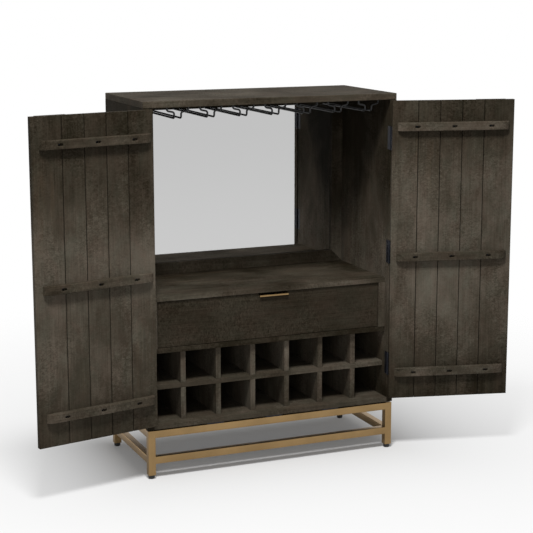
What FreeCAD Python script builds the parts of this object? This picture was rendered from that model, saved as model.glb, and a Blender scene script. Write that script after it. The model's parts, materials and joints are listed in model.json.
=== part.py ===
import FreeCAD, Part
import math
import os

import Sketcher

# A two-door bar cabinet on a square-tube base. The frame has its origin on the floor under the middle of
# the case: +X to the right, +Y to the back, +Z up. The doors are drawn standing open and the drawer shut.

# Lengths in millimetres and one angle in degrees, each the driving value of one cell of the sheet.
SIZES = {
    # Case
    "case_width": 915.0,
    "case_depth": 415.0,
    "total_height": 1268.0,
    "side_thickness": 22.0,
    "top_thickness": 22.0,
    "panel_thickness": 16.5,
    "back_thickness": 9.0,
    "edge_bevel": 1.2,
    # Base of square tube on levelling feet
    "base_height": 168.0,
    "base_setback": 0.8,
    "tube_width": 25.4,
    "tube_wall": 1.5,
    "lower_rail_height": 52.0,
    "foot_height": 13.5,
    "foot_radius": 11.0,
    "foot_sole_radius": 7.5,
    "foot_rounding": 5.0,
    "foot_gap": 0.3,
    "stem_radius": 4.0,
    "stem_length": 24.0,
    "stem_clearance": 0.05,
    "leg_plug": 25.0,
    "mounting_plate": 4.0,
    "mounting_plate_length": 60.0,
    # Shelves and bottle rack
    "lower_cell_height": 109.5,
    "upper_cell_height": 112.0,
    "drawer_opening": 160.0,
    "shelf_clearance": 7.0,
    "divider_thickness": 18.0,
    "lap_clearance": 0.1,
    # Mirror and its mitred frame
    "mirror_border": 41.5,
    "mirror_frame_depth": 26.5,
    "mirror_recess": 12.0,
    "mirror_thickness": 4.0,
    "mirror_rebate": 10.0,
    "mirror_clearance": 0.5,
    # Wire rails for stemware
    "rack_left_gap": 67.0,
    "rack_right_gap": 35.8,
    "rack_clearance": 6.5,
    "rack_rear_gap": 12.0,
    "rack_drop": 38.0,
    "rail_spacing": 24.0,
    "leg_spacing": 76.0,
    "shoulder_drop": 16.0,
    "shoulder_radius": 8.0,
    "rail_bend_radius": 9.0,
    "wire_radius": 2.4,
    # Drawer
    "drawer_recess": 5.0,
    "drawer_front_thickness": 18.0,
    "drawer_side_gap": 2.0,
    "drawer_gap": 1.5,
    "drawer_rear_gap": 28.5,
    "drawer_head_room": 23.0,
    "drawer_box_rise": 12.0,
    "drawer_wall": 12.0,
    "drawer_bottom": 6.0,
    "drawer_groove": 6.0,
    "drawer_bottom_rise": 8.0,
    "groove_clearance": 0.1,
    # Drawer runners
    "runner_packer": 24.0,
    "runner_space": 12.7,
    "runner_rear_gap": 8.0,
    "runner_height": 35.0,
    "runner_depth": 9.0,
    "runner_sheet": 1.5,
    "runner_clearance": 0.3,
    "runner_end_gap": 2.0,
    # Drawer pull
    "pull_width": 106.0,
    "pull_offset": 9.0,
    "pull_reach": 10.0,
    "pull_lip": 5.5,
    "pull_sheet": 2.0,
    "pull_tail": 20.0,
    "pull_notch": 8.0,
    # Doors
    "door_thickness": 17.0,
    "door_side_gap": 2.0,
    "door_meeting_gap": 2.5,
    "door_top_gap": 2.0,
    "door_bottom_gap": 2.5,
    "left_door_open_angle": 168.0,
    "right_door_open_angle": 166.0,
    "board_groove": 2.2,
    "pull_board_width": 106.0,
    "pull_board_thickness": 12.0,
    "pull_board_inset": 25.0,
    # Battens across the doors
    "top_batten_drop": 89.0,
    "bottom_batten_rise": 96.0,
    "batten_clearance": 2.5,
    "batten_width": 29.0,
    "batten_thickness": 19.0,
    "batten_inset": 20.0,
    "left_batten_shift": 7.0,
    "batten_taper": 38.0,
    "batten_end": 7.0,
    "slot_length": 17.0,
    "slot_width": 7.0,
    "slot_depth": 12.0,
    # Butt hinges
    "top_hinge_drop": 130.0,
    "bottom_hinge_rise": 123.0,
    "hinge_length": 80.0,
    "case_leaf_width": 20.0,
    "door_leaf_width": 14.5,
    "leaf_thickness": 1.5,
    "leaf_clearance": 0.1,
    "knuckle_radius": 3.0,
    "knuckle_clearance": 0.2,
    "knuckle_gap": 0.3,
    "pin_radius": 1.6,
    "pin_clearance": 0.05,
    # How far a cutting shape runs past the face that it opens
    "overrun": 5.0,
}

CELL_COUNT = 7
RACKS = 7
WIRE_SIDES = 8
BEND_STEPS = 3
SHOULDER_SLOPE = 11
FOOT_SIDES = 16
MIDDLE_BATTEN_SHARE = 0.477
MIDDLE_HINGE_SHARE = 0.502
SLOT_CORNER_SHARE = 0.3
BOARD_SHARES = (0.213, 0.1805, 0.1805, 0.1805, 0.2455)
SLOT_SHARES = (0.165, 0.5, 0.835)
DOOR_SIDES = {"left": -1, "right": 1}
BATTENS = ("top", "middle", "bottom")

doc = FreeCAD.newDocument("BarCabinet")
sheet = doc.addObject("Spreadsheet::Sheet", "Sizes")
pieces = []


class Size:
    """A length with its number now and the sheet expression that drives it."""

    def __init__(self, value, text):
        self.value = value
        self.text = text

    def __add__(self, other):
        other = as_size(other)
        return Size(self.value + other.value, f"({self.text} + {other.text})")

    def __sub__(self, other):
        other = as_size(other)
        return Size(self.value - other.value, f"({self.text} - {other.text})")

    def __mul__(self, factor):
        return Size(self.value * factor, f"({self.text} * {factor!r})")

    def __truediv__(self, divisor):
        return Size(self.value / divisor, f"({self.text} / {divisor!r})")

    def __neg__(self):
        return self * -1


def as_size(number):
    """A plain number as a size, for sums with zero."""
    return number if isinstance(number, Size) else Size(number, repr(number))


class Dimensions:
    """The named cells of the sheet, each read as a size."""

    def __init__(self, cells, values):
        for row, (name, value) in enumerate(values.items(), start=1):
            cells.set(f"A{row}", name)
            cells.set(f"B{row}", str(value))
            cells.setAlias(f"B{row}", name)
            setattr(self, name, Size(value, f"{cells.Name}.{name}"))


d = Dimensions(sheet, SIZES)
doc.recompute()


def bind(thing, path, length):
    """Drive one property of an object from the sheet."""
    thing.setExpression(path, as_size(length).text)


def move(thing, x=0, y=0, z=0):
    """Drive the place of an object from the sheet."""
    for axis, length in zip("xyz", (x, y, z)):
        bind(thing, f"Placement.Base.{axis}", length)


def piece(label, thing):
    """Name a finished piece of the cabinet, which gets a file of its own."""
    thing.Label = label
    pieces.append(thing)
    return thing


def outward(side, near, far):
    """The range in X between two distances from the middle, on the left (-1) or the right (1)."""
    return (near, far) if side > 0 else (-far, -near)


def about(middle, length):
    """The range of a length that is centred on a place."""
    return (middle - length / 2, middle + length / 2)


def block(name, x, y, z):
    """A rectangular board between two places on each axis."""
    board = doc.addObject("Part::Box", name)
    for side, axis, (low, high) in zip(("Length", "Width", "Height"), "xyz", (x, y, z)):
        bind(board, side, high - low)
        bind(board, f"Placement.Base.{axis}", low)
    return board


# Turns that lay an upright round bar along an axis
ALONG = {
    "x": FreeCAD.Rotation(FreeCAD.Vector(0, 1, 0), 90),
    "y": FreeCAD.Rotation(FreeCAD.Vector(1, 0, 0), -90),
    "z": FreeCAD.Rotation(),
}


def rod(name, radius, length, start, axis="z"):
    """A round bar from its start along one axis."""
    bar = doc.addObject("Part::Cylinder", name)
    bar.Placement = FreeCAD.Placement(FreeCAD.Vector(), ALONG[axis])
    bind(bar, "Radius", radius)
    bind(bar, "Height", length)
    move(bar, *start)
    return bar


def joined(name, solids):
    """One solid fused from several that overlap."""
    fuse = doc.addObject("Part::MultiFuse", name)
    fuse.Shapes = solids
    return fuse


def carved(name, base, tools):
    """A solid with the shape of every tool taken out of it."""
    cut = doc.addObject("Part::Cut", name)
    cut.Base = base
    cut.Tool = tools[0] if len(tools) == 1 else joined(f"{name}Tools", tools)
    return cut


def group(name, solids):
    """Like pieces kept as separate solids under one name."""
    compound = doc.addObject("Part::Compound", name)
    compound.Links = solids
    return compound


def origin_plane(body, role):
    """The body's own origin plane of that role."""
    return next(f for f in body.Origin.OriginFeatures if f.Role == role)


def closed_sketch(body, role, outline):
    """A sketch on an origin plane: straight lines through points, each held to the sheet."""
    sketch = body.newObject("Sketcher::SketchObject", f"{body.Name}Sketch")
    sketch.AttachmentSupport = [(origin_plane(body, role), "")]
    sketch.MapMode = "FlatFace"
    points = [FreeCAD.Vector(as_size(u).value, as_size(v).value, 0) for u, v in outline]
    ends = points[1:] + points[:1]
    sketch.addGeometry([Part.LineSegment(a, b) for a, b in zip(points, ends)], False)
    for line, (u, v) in enumerate(outline):
        previous = (line - 1) % len(points)
        sketch.addConstraint(Sketcher.Constraint("Coincident", previous, 2, line, 1))
        for kind, axis, length in (("DistanceX", -2, as_size(u)), ("DistanceY", -1, as_size(v))):
            if length.value == 0:
                sketch.addConstraint(Sketcher.Constraint("PointOnObject", line, 1, axis))
                continue
            held = sketch.addConstraint(Sketcher.Constraint(kind, -1, 1, line, 1, length.value))
            sketch.setExpression(f"Constraints[{held}]", length.text)
    return sketch


# For each origin plane: the sign of its normal on the axis that it faces
PLANE_NORMALS = {"XY_Plane": 1, "XZ_Plane": -1, "YZ_Plane": 1}


def prism(name, role, outline, span):
    """A body padded from an outline on an origin plane, between two places on the plane's axis."""
    low, high = span
    body = doc.addObject("PartDesign::Body", name)
    sketch = closed_sketch(body, role, outline)
    bind(sketch, "AttachmentOffset.Base.z", low if PLANE_NORMALS[role] > 0 else -high)
    pad = body.newObject("PartDesign::Pad", f"{name}Pad")
    pad.Profile = sketch
    bind(pad, "Length", high - low)
    return body


def bevelled_block(name, x, y, z):
    """A board whose edges are all broken by the small bevel of the case."""
    corners = [(x[0], y[0]), (x[1], y[0]), (x[1], y[1]), (x[0], y[1])]
    body = prism(name, "XY_Plane", corners, z)
    bevel = body.newObject("PartDesign::Chamfer", f"{name}Bevel")
    bevel.Base = (body.getObject(f"{name}Pad"), [""])
    bevel.UseAllEdges = True
    bind(bevel, "Size", d.edge_bevel)
    return body


def faceted_wire(name, length, start, axis="z"):
    """A straight wire with a many-sided section, from its start along one axis."""
    wire = doc.addObject("Part::Prism", name)
    wire.Polygon = WIRE_SIDES
    wire.Placement = FreeCAD.Placement(FreeCAD.Vector(), ALONG[axis])
    bind(wire, "Circumradius", d.wire_radius)
    bind(wire, "Height", length)
    move(wire, *start)
    return wire


# Faces of the case that the other pieces are set out from
half_width = d.case_width / 2
half_depth = d.case_depth / 2
front = -half_depth
inner = half_width - d.side_thickness
back_face = half_depth - d.back_thickness
case_bottom = d.base_height + d.mounting_plate
floor_top = case_bottom + d.panel_thickness
top_underside = d.total_height - d.top_thickness
bottle_shelf_top = floor_top + d.lower_cell_height + d.panel_thickness
drawer_shelf_top = bottle_shelf_top + d.upper_cell_height + d.panel_thickness
counter_underside = drawer_shelf_top + d.drawer_opening
counter_top = counter_underside + d.panel_thickness
shelf_front = front + d.door_thickness + d.shelf_clearance
across = (-inner, inner)
door_height = (floor_top + d.door_bottom_gap, top_underside - d.door_top_gap)


def three_heights(drop, rise, middle_share):
    """Heights of three like pieces on a door: the top and bottom ones from its ends, one between them."""
    top = door_height[1] - drop
    bottom = door_height[0] + rise
    return (top, bottom + (top - bottom) * middle_share, bottom)


# The hinge pins stand in the middle of the gap beside each door, just before the front of the case
pin_across = inner - d.door_side_gap / 2
pin_forward = d.knuckle_radius + d.knuckle_clearance
pin_depth = front - pin_forward
hinge_heights = three_heights(d.top_hinge_drop, d.bottom_hinge_rise, MIDDLE_HINGE_SHARE)


def leaf_height(middle):
    """The height range of a hinge leaf's bed, with its clearance."""
    return about(middle, d.hinge_length + d.leaf_clearance * 2)


# Case
def build_case():
    """The outer panels: top, two sides with beds for the hinge leaves, bottom and back."""
    top_across = (-half_width, half_width)
    top_height = (top_underside, d.total_height)
    piece("top_panel", bevelled_block("Top", top_across, (front, half_depth), top_height))
    for name, side in DOOR_SIDES.items():
        panel = block(
            f"{name}Side",
            outward(side, inner, half_width),
            (front, half_depth),
            (case_bottom, top_underside),
        )
        beds = [
            block(
                f"{name}LeafBed",
                outward(side, inner - d.overrun, inner + d.leaf_thickness + d.leaf_clearance),
                (front - d.overrun, front + d.case_leaf_width + d.leaf_clearance),
                leaf_height(height),
            )
            for height in hinge_heights
        ]
        piece(f"{name}_side_panel", carved(f"{name}SidePanel", panel, beds))
    piece("bottom_panel", block("Bottom", across, (front, back_face), (case_bottom, floor_top)))
    piece("back_panel", block("Back", across, (back_face, half_depth), (case_bottom, top_underside)))


def shelf(name, height, shelf_start=shelf_front):
    """A full-width shelf with its upper face at a height."""
    return block(name, across, (shelf_start, back_face), (height - d.panel_thickness, height))


def build_bottle_rack():
    """Counter, drawer shelf, and the bottle shelf and dividers, which lock in half-lap joints."""
    piece("counter_shelf", shelf("Counter", counter_top))
    piece("drawer_shelf", shelf("DrawerShelf", drawer_shelf_top))
    dividers = CELL_COUNT - 1
    cell = (inner * 2 - d.divider_thickness * dividers) / CELL_COUNT
    divider_front = front + d.door_thickness + d.batten_thickness + d.batten_clearance
    lap_middle = (divider_front + back_face) / 2
    slots = []
    for number in range(1, dividers + 1):
        left = -inner + cell * number + d.divider_thickness * (number - 1)
        right = left + d.divider_thickness
        slots.append(
            block(
                f"ShelfSlot{number}",
                (left - d.lap_clearance, right + d.lap_clearance),
                (lap_middle, back_face + d.overrun),
                about(bottle_shelf_top - d.panel_thickness / 2, d.panel_thickness + d.overrun * 2),
            )
        )
        board = block(
            f"Divider{number}",
            (left, right),
            (divider_front, back_face),
            (floor_top, drawer_shelf_top - d.panel_thickness),
        )
        notch = block(
            f"DividerNotch{number}",
            (left - d.overrun, right + d.overrun),
            (divider_front - d.overrun, lap_middle),
            (bottle_shelf_top - d.panel_thickness - d.lap_clearance, bottle_shelf_top + d.lap_clearance),
        )
        piece(f"bottle_divider_{number}", carved(f"BottleDivider{number}", board, [notch]))
    bottle_board = shelf("BottleBoard", bottle_shelf_top, divider_front)
    piece("bottle_shelf", carved("BottleShelf", bottle_board, slots))


def build_mirror():
    """The mirror in a rebated frame with mitred corners, and the board that backs it."""
    low = counter_top
    high = top_underside
    sight = inner - d.mirror_border
    sight_low = low + d.mirror_border
    sight_high = high - d.mirror_border
    frame_front = back_face - d.mirror_frame_depth
    mirror_front = frame_front + d.mirror_recess
    bed_across = sight + d.mirror_rebate
    bed = ((-bed_across, bed_across), (sight_low - d.mirror_rebate, sight_high + d.mirror_rebate))
    outlines = {
        "bottom_rail": [(-inner, low), (inner, low), (sight, sight_low), (-sight, sight_low)],
        "top_rail": [(-inner, high), (-sight, sight_high), (sight, sight_high), (inner, high)],
        "left_stile": [(-inner, low), (-sight, sight_low), (-sight, sight_high), (-inner, high)],
        "right_stile": [(inner, low), (inner, high), (sight, sight_high), (sight, sight_low)],
    }
    for name, outline in outlines.items():
        member = prism(f"Mirror_{name}", "XZ_Plane", outline, (frame_front, back_face))
        rebate = block(f"Rebate_{name}", bed[0], (mirror_front, back_face + d.overrun), bed[1])
        piece(f"mirror_frame_{name}", carved(f"Rebated_{name}", member, [rebate]))
    fit = d.mirror_clearance
    plate = [(start + fit, end - fit) for start, end in bed]
    mirror_back = mirror_front + d.mirror_thickness
    piece("mirror_glass", block("Mirror", plate[0], (mirror_front, mirror_back), plate[1]))
    piece("mirror_backing", block("MirrorBacking", plate[0], (mirror_back, back_face), plate[1]))


def bend(centre, radius, start, sweep):
    """Points round a bend of a wire in its own plane: its start and its sweep are in degrees."""
    turns = [math.radians(start + sweep * step / BEND_STEPS) for step in range(BEND_STEPS + 1)]
    return [(centre[0] + radius * math.cos(turn), centre[1] + radius * math.sin(turn)) for turn in turns]


def wire_leg(name, middle, rail_start, leg_front, side):
    """A bent hanger wire: up from its rail's end, out along a sloping shoulder and up to the top panel."""
    radius = d.wire_radius.value
    turn_radius = d.shoulder_radius.value
    rail_turn = d.rail_bend_radius.value
    depth = leg_front.value
    low = (top_underside - d.rack_drop).value
    high = top_underside.value
    shoulder = (top_underside - d.shoulder_drop).value
    near = d.rail_spacing.value / 2
    far = d.leg_spacing.value / 2
    slope = math.radians(SHOULDER_SLOPE)
    run = far - near - turn_radius * 2 * (1 - math.sin(slope))
    rise = run * math.tan(slope) / 2 + turn_radius * math.cos(slope)
    sweep = 90 - SHOULDER_SLOPE
    upturn = bend((depth + rail_turn, low + rail_turn), rail_turn, -90, -90)
    leg = bend((near + turn_radius, shoulder - rise), turn_radius, 180, -sweep)
    leg += bend((far - turn_radius, shoulder + rise), turn_radius, -sweep, sweep)
    route = [(near, rail_start.value, low)] + [(near, y, z) for y, z in upturn]
    route += [(u, depth, z) for u, z in leg] + [(far, depth, high)]
    path = Part.makePolygon([FreeCAD.Vector(middle.value + side * u, y, z) for u, y, z in route])
    corners = [2 * math.pi * number / WIRE_SIDES for number in range(WIRE_SIDES + 1)]
    centre = FreeCAD.Vector(middle.value + side * near, rail_start.value, low)
    section = [
        centre + FreeCAD.Vector(radius * math.cos(turn), 0, radius * math.sin(turn)) for turn in corners
    ]
    wire = doc.addObject("Part::Feature", name)
    mitred = 1
    wire.Shape = path.makePipeShell([Part.makePolygon(section)], True, False, mitred)
    return wire


def build_stemware_racks():
    """Seven racks under the top: two rails each, on bent legs in front and straight legs behind."""
    rail_height = top_underside - d.rack_drop
    rail_front = front + d.door_thickness + d.rack_clearance
    rail_back = back_face - d.mirror_frame_depth - d.rack_rear_gap
    leg_front = rail_front + d.wire_radius
    leg_back = rail_back - d.wire_radius
    rail_start = leg_front + d.rail_bend_radius + d.wire_radius * 2
    first = -inner + d.rack_left_gap + d.leg_spacing / 2
    last = inner - d.rack_right_gap - d.leg_spacing / 2
    for number in range(1, RACKS + 1):
        middle = first + (last - first) * ((number - 1) / (RACKS - 1))
        solids = []
        for name, side in DOOR_SIDES.items():
            x = middle + d.rail_spacing * side / 2
            rail_end = (x, rail_start, rail_height)
            rail = faceted_wire(f"Rail{number}{name}", rail_back - rail_start, rail_end, "y")
            straight = faceted_wire(f"Rear{number}{name}", d.rack_drop, (x, leg_back, rail_height))
            solids += [
                rail,
                wire_leg(f"FrontLeg{number}{name}", middle, rail_start, leg_front, side),
                carved(f"RearLeg{number}{name}", straight, [rail]),
            ]
        piece(f"stemware_rack_{number}", group(f"StemwareRack{number}", solids))


# Drawer
def build_drawer():
    """The drawer box: front with a notch for its pull, sides, back, bottom, pull and runners."""
    front_face = shelf_front + d.drawer_recess
    front_back = front_face + d.drawer_front_thickness
    half_front = inner - d.runner_packer - d.drawer_side_gap
    low = drawer_shelf_top + d.drawer_gap
    high = counter_underside - d.drawer_gap
    notch_floor = high - d.pull_notch
    wall_outside = inner - d.runner_packer - d.runner_space
    wall_inside = wall_outside - d.drawer_wall
    box_low = low + d.drawer_box_rise
    box_high = high - d.drawer_head_room
    box_back = back_face - d.drawer_rear_gap
    bottom_low = box_low + d.drawer_bottom_rise
    bottom_high = bottom_low + d.drawer_bottom
    groove_reach = wall_inside + d.drawer_groove
    groove = (bottom_low - d.groove_clearance, bottom_high + d.groove_clearance)
    bottom_front = front_back - d.drawer_groove

    face = block("DrawerFace", (-half_front, half_front), (front_face, front_back), (low, high))
    notch = block(
        "PullNotch",
        about(d.pull_offset, d.pull_width + d.groove_clearance * 2),
        (front_face - d.overrun, front_back + d.overrun),
        (notch_floor, high + d.overrun),
    )
    front_groove = block(
        "FrontGroove", (-groove_reach, groove_reach), (bottom_front, front_back + d.overrun), groove
    )
    piece("drawer_front", carved("DrawerFront", face, [notch, front_groove]))
    for name, side in DOOR_SIDES.items():
        wall_across = outward(side, wall_inside, wall_outside)
        wall = block(f"{name}Wall", wall_across, (front_back, box_back), (box_low, box_high))
        wall_groove = block(
            f"{name}WallGroove",
            outward(side, wall_inside - d.overrun, groove_reach),
            (front_back - d.overrun, box_back + d.overrun),
            groove,
        )
        piece(f"drawer_{name}_side", carved(f"{name}DrawerSide", wall, [wall_groove]))
    inside = (-wall_inside, wall_inside)
    back_depth = (box_back - d.drawer_wall, box_back)
    piece("drawer_back", block("DrawerBack", inside, back_depth, (bottom_high, box_high)))
    reach = groove_reach - d.groove_clearance
    bottom_depth = (bottom_front + d.groove_clearance, box_back)
    piece("drawer_bottom", block("DrawerBottom", (-reach, reach), bottom_depth, (bottom_low, bottom_high)))

    pull_top = notch_floor + d.pull_sheet
    lip_front = front_face - d.pull_reach
    lip_back = lip_front + d.pull_sheet
    tail_back = front_back + d.pull_sheet
    pull_outline = [
        (lip_front, pull_top - d.pull_lip),
        (lip_back, pull_top - d.pull_lip),
        (lip_back, notch_floor),
        (front_back, notch_floor),
        (front_back, notch_floor - d.pull_tail),
        (tail_back, notch_floor - d.pull_tail),
        (tail_back, pull_top),
        (lip_front, pull_top),
    ]
    piece("drawer_pull", prism("DrawerPull", "YZ_Plane", pull_outline, about(d.pull_offset, d.pull_width)))
    build_runners((front_back, box_back), (box_low + box_high) / 2, wall_outside)


def channel(name, side, web, edge, half_height, y):
    """A sheet-metal channel along Y: a web at one distance from the middle, flanges out to another."""
    inwards = 1 if edge.value > web[1].value else -1
    web_face = web[1] if inwards > 0 else web[0]
    web_back = web[0] if inwards > 0 else web[1]
    middle = web[2]
    sheet_metal = d.runner_sheet
    outline = [
        (web_back, -half_height),
        (edge, -half_height),
        (edge, sheet_metal - half_height),
        (web_face, sheet_metal - half_height),
        (web_face, half_height - sheet_metal),
        (edge, half_height - sheet_metal),
        (edge, half_height),
        (web_back, half_height),
    ]
    placed = [(u * side, middle + v) for u, v in outline]
    return prism(name, "XZ_Plane", placed, y)


def build_runners(box_depth, height, wall_outside):
    """On each side a packer that fills the opening, a fixed channel on it and a sliding one on the drawer."""
    span = (box_depth[0] + d.runner_end_gap, box_depth[1] - d.runner_rear_gap)
    fixed_half = d.runner_height / 2
    sliding_half = fixed_half - d.runner_sheet - d.runner_clearance
    seat = inner - d.runner_packer
    packer_depth = (shelf_front, span[1])
    packer_height = (drawer_shelf_top, counter_underside)
    packers = []
    fixed = []
    sliding = []
    for name, side in DOOR_SIDES.items():
        packers.append(block(f"{name}Packer", outward(side, seat, inner), packer_depth, packer_height))
        fixed_web = (seat - d.runner_sheet, seat, height)
        fixed.append(channel(f"{name}Fixed", side, fixed_web, seat - d.runner_depth, fixed_half, span))
        sliding_web = (wall_outside, wall_outside + d.runner_sheet, height)
        sliding_edge = seat - d.runner_sheet - d.runner_clearance
        sliding.append(channel(f"{name}Sliding", side, sliding_web, sliding_edge, sliding_half, span))
    piece("drawer_runner_packers", group("RunnerPackers", packers))
    piece("drawer_case_runners", group("CaseRunners", fixed))
    piece("drawer_box_runners", group("BoxRunners", sliding))


# Doors, each set out in a frame of its own: origin on its hinge pin's axis, at floor level, door shut
def hang(thing, side):
    """Stand a door's piece on its hinge line, turned to the angle at which that door stands open."""
    upright = FreeCAD.Vector(0, 0, side)
    angle = d.right_door_open_angle if side > 0 else d.left_door_open_angle
    thing.Placement = FreeCAD.Placement(FreeCAD.Vector(), FreeCAD.Rotation(upright, angle.value))
    move(thing, pin_across * side, pin_depth)
    bind(thing, "Placement.Rotation.Angle", angle)
    return thing


hinge_edge = d.door_side_gap / 2
door_width = pin_across - d.door_meeting_gap / 2 - hinge_edge
outer_face = pin_forward
inner_face = outer_face + d.door_thickness
batten_heights = three_heights(d.top_batten_drop, d.bottom_batten_rise, MIDDLE_BATTEN_SHARE)


def from_hinge(side, near, far):
    """The range in a door's own X between two distances from its pin's axis."""
    return outward(-side, near, far)


def board_outline(side, start, end, bevel_start, bevel_end):
    """A board's section in plan: a rectangle whose edges at a joint are bevelled to make a V groove."""
    cut = d.board_groove
    outline = []
    for face, step in ((outer_face, 1), (inner_face, -1)):
        corner = [(start + cut, face), (start, face + cut * step)] if bevel_start else [(start, face)]
        far_corner = [(end, face + cut * step), (end - cut, face)] if bevel_end else [(end, face)]
        outline += far_corner[::-1] + corner if step < 0 else corner[::-1] + far_corner[::-1]
    return [(u * -side, v) for u, v in outline]


def build_door(name, side):
    """A door of five upright boards, held by three battens, with a pull board on its outer face."""
    boards = []
    share = 0
    for number, board_share in enumerate(BOARD_SHARES, start=1):
        start = hinge_edge + door_width * share
        share = share + board_share
        end = hinge_edge + door_width * share
        last = number == len(BOARD_SHARES)
        outline = board_outline(side, start, end, number > 1, not last)
        board = prism(f"{name}Board{number}", "XY_Plane", outline, door_height)
        if number == 1:
            board = carved(f"{name}HingeBoard", board, leaf_beds(name, side))
        boards.append(board)
    piece(f"{name}_door_boards", hang(group(f"{name}DoorBoards", boards), side))

    free_edge = hinge_edge + door_width
    board_end = free_edge - d.pull_board_inset
    pull_board = block(
        f"{name}PullBoard",
        from_hinge(side, board_end - d.pull_board_width, board_end),
        (outer_face - d.pull_board_thickness, outer_face),
        door_height,
    )
    piece(f"{name}_door_pull_board", hang(group(f"{name}DoorPullBoard", [pull_board]), side))

    for place, height in zip(BATTENS, batten_heights):
        piece(f"{name}_door_{place}_batten", hang(build_batten(f"{name}{place}", side, height), side))


def leaf_beds(name, side):
    """Beds for the door's hinge leaves in the edge of its first board."""
    return [
        block(
            f"{name}DoorLeafBed",
            from_hinge(side, hinge_edge - d.overrun, hinge_edge + d.leaf_thickness + d.leaf_clearance),
            (outer_face - d.overrun, outer_face + d.door_leaf_width + d.leaf_clearance),
            leaf_height(height),
        )
        for height in hinge_heights
    ]


def build_batten(name, side, height):
    """A batten thinned towards its ends, with long slots for its screws."""
    shift = d.left_batten_shift if side < 0 else as_size(0)
    start = hinge_edge + d.batten_inset - shift
    end = hinge_edge + door_width - d.batten_inset - shift
    face = inner_face + d.batten_thickness
    thin = inner_face + d.batten_end
    outline = [
        (start, inner_face),
        (end, inner_face),
        (end, thin),
        (end - d.batten_taper, face),
        (start + d.batten_taper, face),
        (start, thin),
    ]
    plan = [(u * -side, v) for u, v in outline]
    bar = prism(f"{name}Bar", "XY_Plane", plan, about(height, d.batten_width))
    slot_span = (face - d.slot_depth, face + d.overrun)
    middles = [(start + (end - start) * share) * -side for share in SLOT_SHARES]
    slots = [
        prism(f"{name}Slot{number}", "XZ_Plane", slot_outline(middle, height), slot_span)
        for number, middle in enumerate(middles, start=1)
    ]
    return carved(f"{name}Batten", bar, slots)


def slot_outline(middle, height):
    """A long slot with cut corners about a place on a batten's face."""
    long = d.slot_length / 2
    high = d.slot_width / 2
    cut = d.slot_width * SLOT_CORNER_SHARE
    quarter = [(long, high - cut), (long - cut, high)]
    outline = quarter + [(-u, v) for u, v in quarter[::-1]]
    outline += [(-u, -v) for u, v in outline]
    return [(middle + u, height + v) for u, v in outline]


# Hinges
def knuckles(length):
    """Height ranges of a hinge's knuckles about its middle: two on the case, one on the door between."""
    third = length / 3
    half_gap = d.knuckle_gap / 2
    case = [(-third * 1.5, -third / 2 - half_gap), (third / 2 + half_gap, third * 1.5)]
    door = [(half_gap - third / 2, third / 2 - half_gap)]
    return case, door


def hinge_leaf(name, across_leaf, depth, height, ranges):
    """A leaf: its plate, and webs that carry bored knuckles about the pin's axis at the origin."""
    plate_height = about(height, d.hinge_length)
    solids = [block(f"{name}Plate", across_leaf, depth, plate_height)]
    web_start = d.pin_radius + d.pin_clearance
    for low, high in ranges:
        span = (height + low, height + high)
        solids.append(block(f"{name}Web", across_leaf, (web_start, depth[0]), span))
        solids.append(rod(f"{name}Knuckle", d.knuckle_radius, high - low, (0, 0, height + low)))
    bore = rod(f"{name}Bore", d.pin_radius + d.pin_clearance, d.hinge_length, (0, 0, plate_height[0]))
    return carved(f"{name}Leaf", joined(f"{name}Blank", solids), [bore])


def build_hinges():
    """Three butt hinges a door: leaves let into the case and the door, and a pin through both."""
    case_ranges, door_ranges = knuckles(d.hinge_length)
    case_depth = (outer_face, outer_face + d.case_leaf_width)
    door_depth = (outer_face, outer_face + d.door_leaf_width)
    leaf_out = hinge_edge + d.leaf_thickness
    case_leaves = []
    pins = []
    for name, side in DOOR_SIDES.items():
        door_leaves = []
        for place, height in zip(BATTENS, hinge_heights):
            across_case = outward(side, hinge_edge, leaf_out)
            leaf = hinge_leaf(f"{name}{place}Case", across_case, case_depth, height, case_ranges)
            move(leaf, pin_across * side, pin_depth)
            case_leaves.append(leaf)
            across_door = from_hinge(side, hinge_edge, leaf_out)
            door_leaves.append(hinge_leaf(f"{name}{place}Door", across_door, door_depth, height, door_ranges))
            pin_foot = (pin_across * side, pin_depth, height - d.hinge_length / 2)
            pins.append(rod(f"{name}{place}Pin", d.pin_radius, d.hinge_length, pin_foot))
        piece(f"{name}_door_hinge_leaves", hang(group(f"{name}DoorLeaves", door_leaves), side))
    piece("case_hinge_leaves", group("CaseLeaves", case_leaves))
    piece("hinge_pins", group("HingePins", pins))


# Base
def tube(name, x, y, z, axis):
    """A square tube, open at both ends along one axis."""
    ranges = {"x": x, "y": y, "z": z}
    hollow = {
        key: (low - d.overrun, high + d.overrun) if key == axis else (low + d.tube_wall, high - d.tube_wall)
        for key, (low, high) in ranges.items()
    }
    return carved(name, block(f"{name}Bar", x, y, z), [block(f"{name}Hollow", *hollow.values())])


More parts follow.
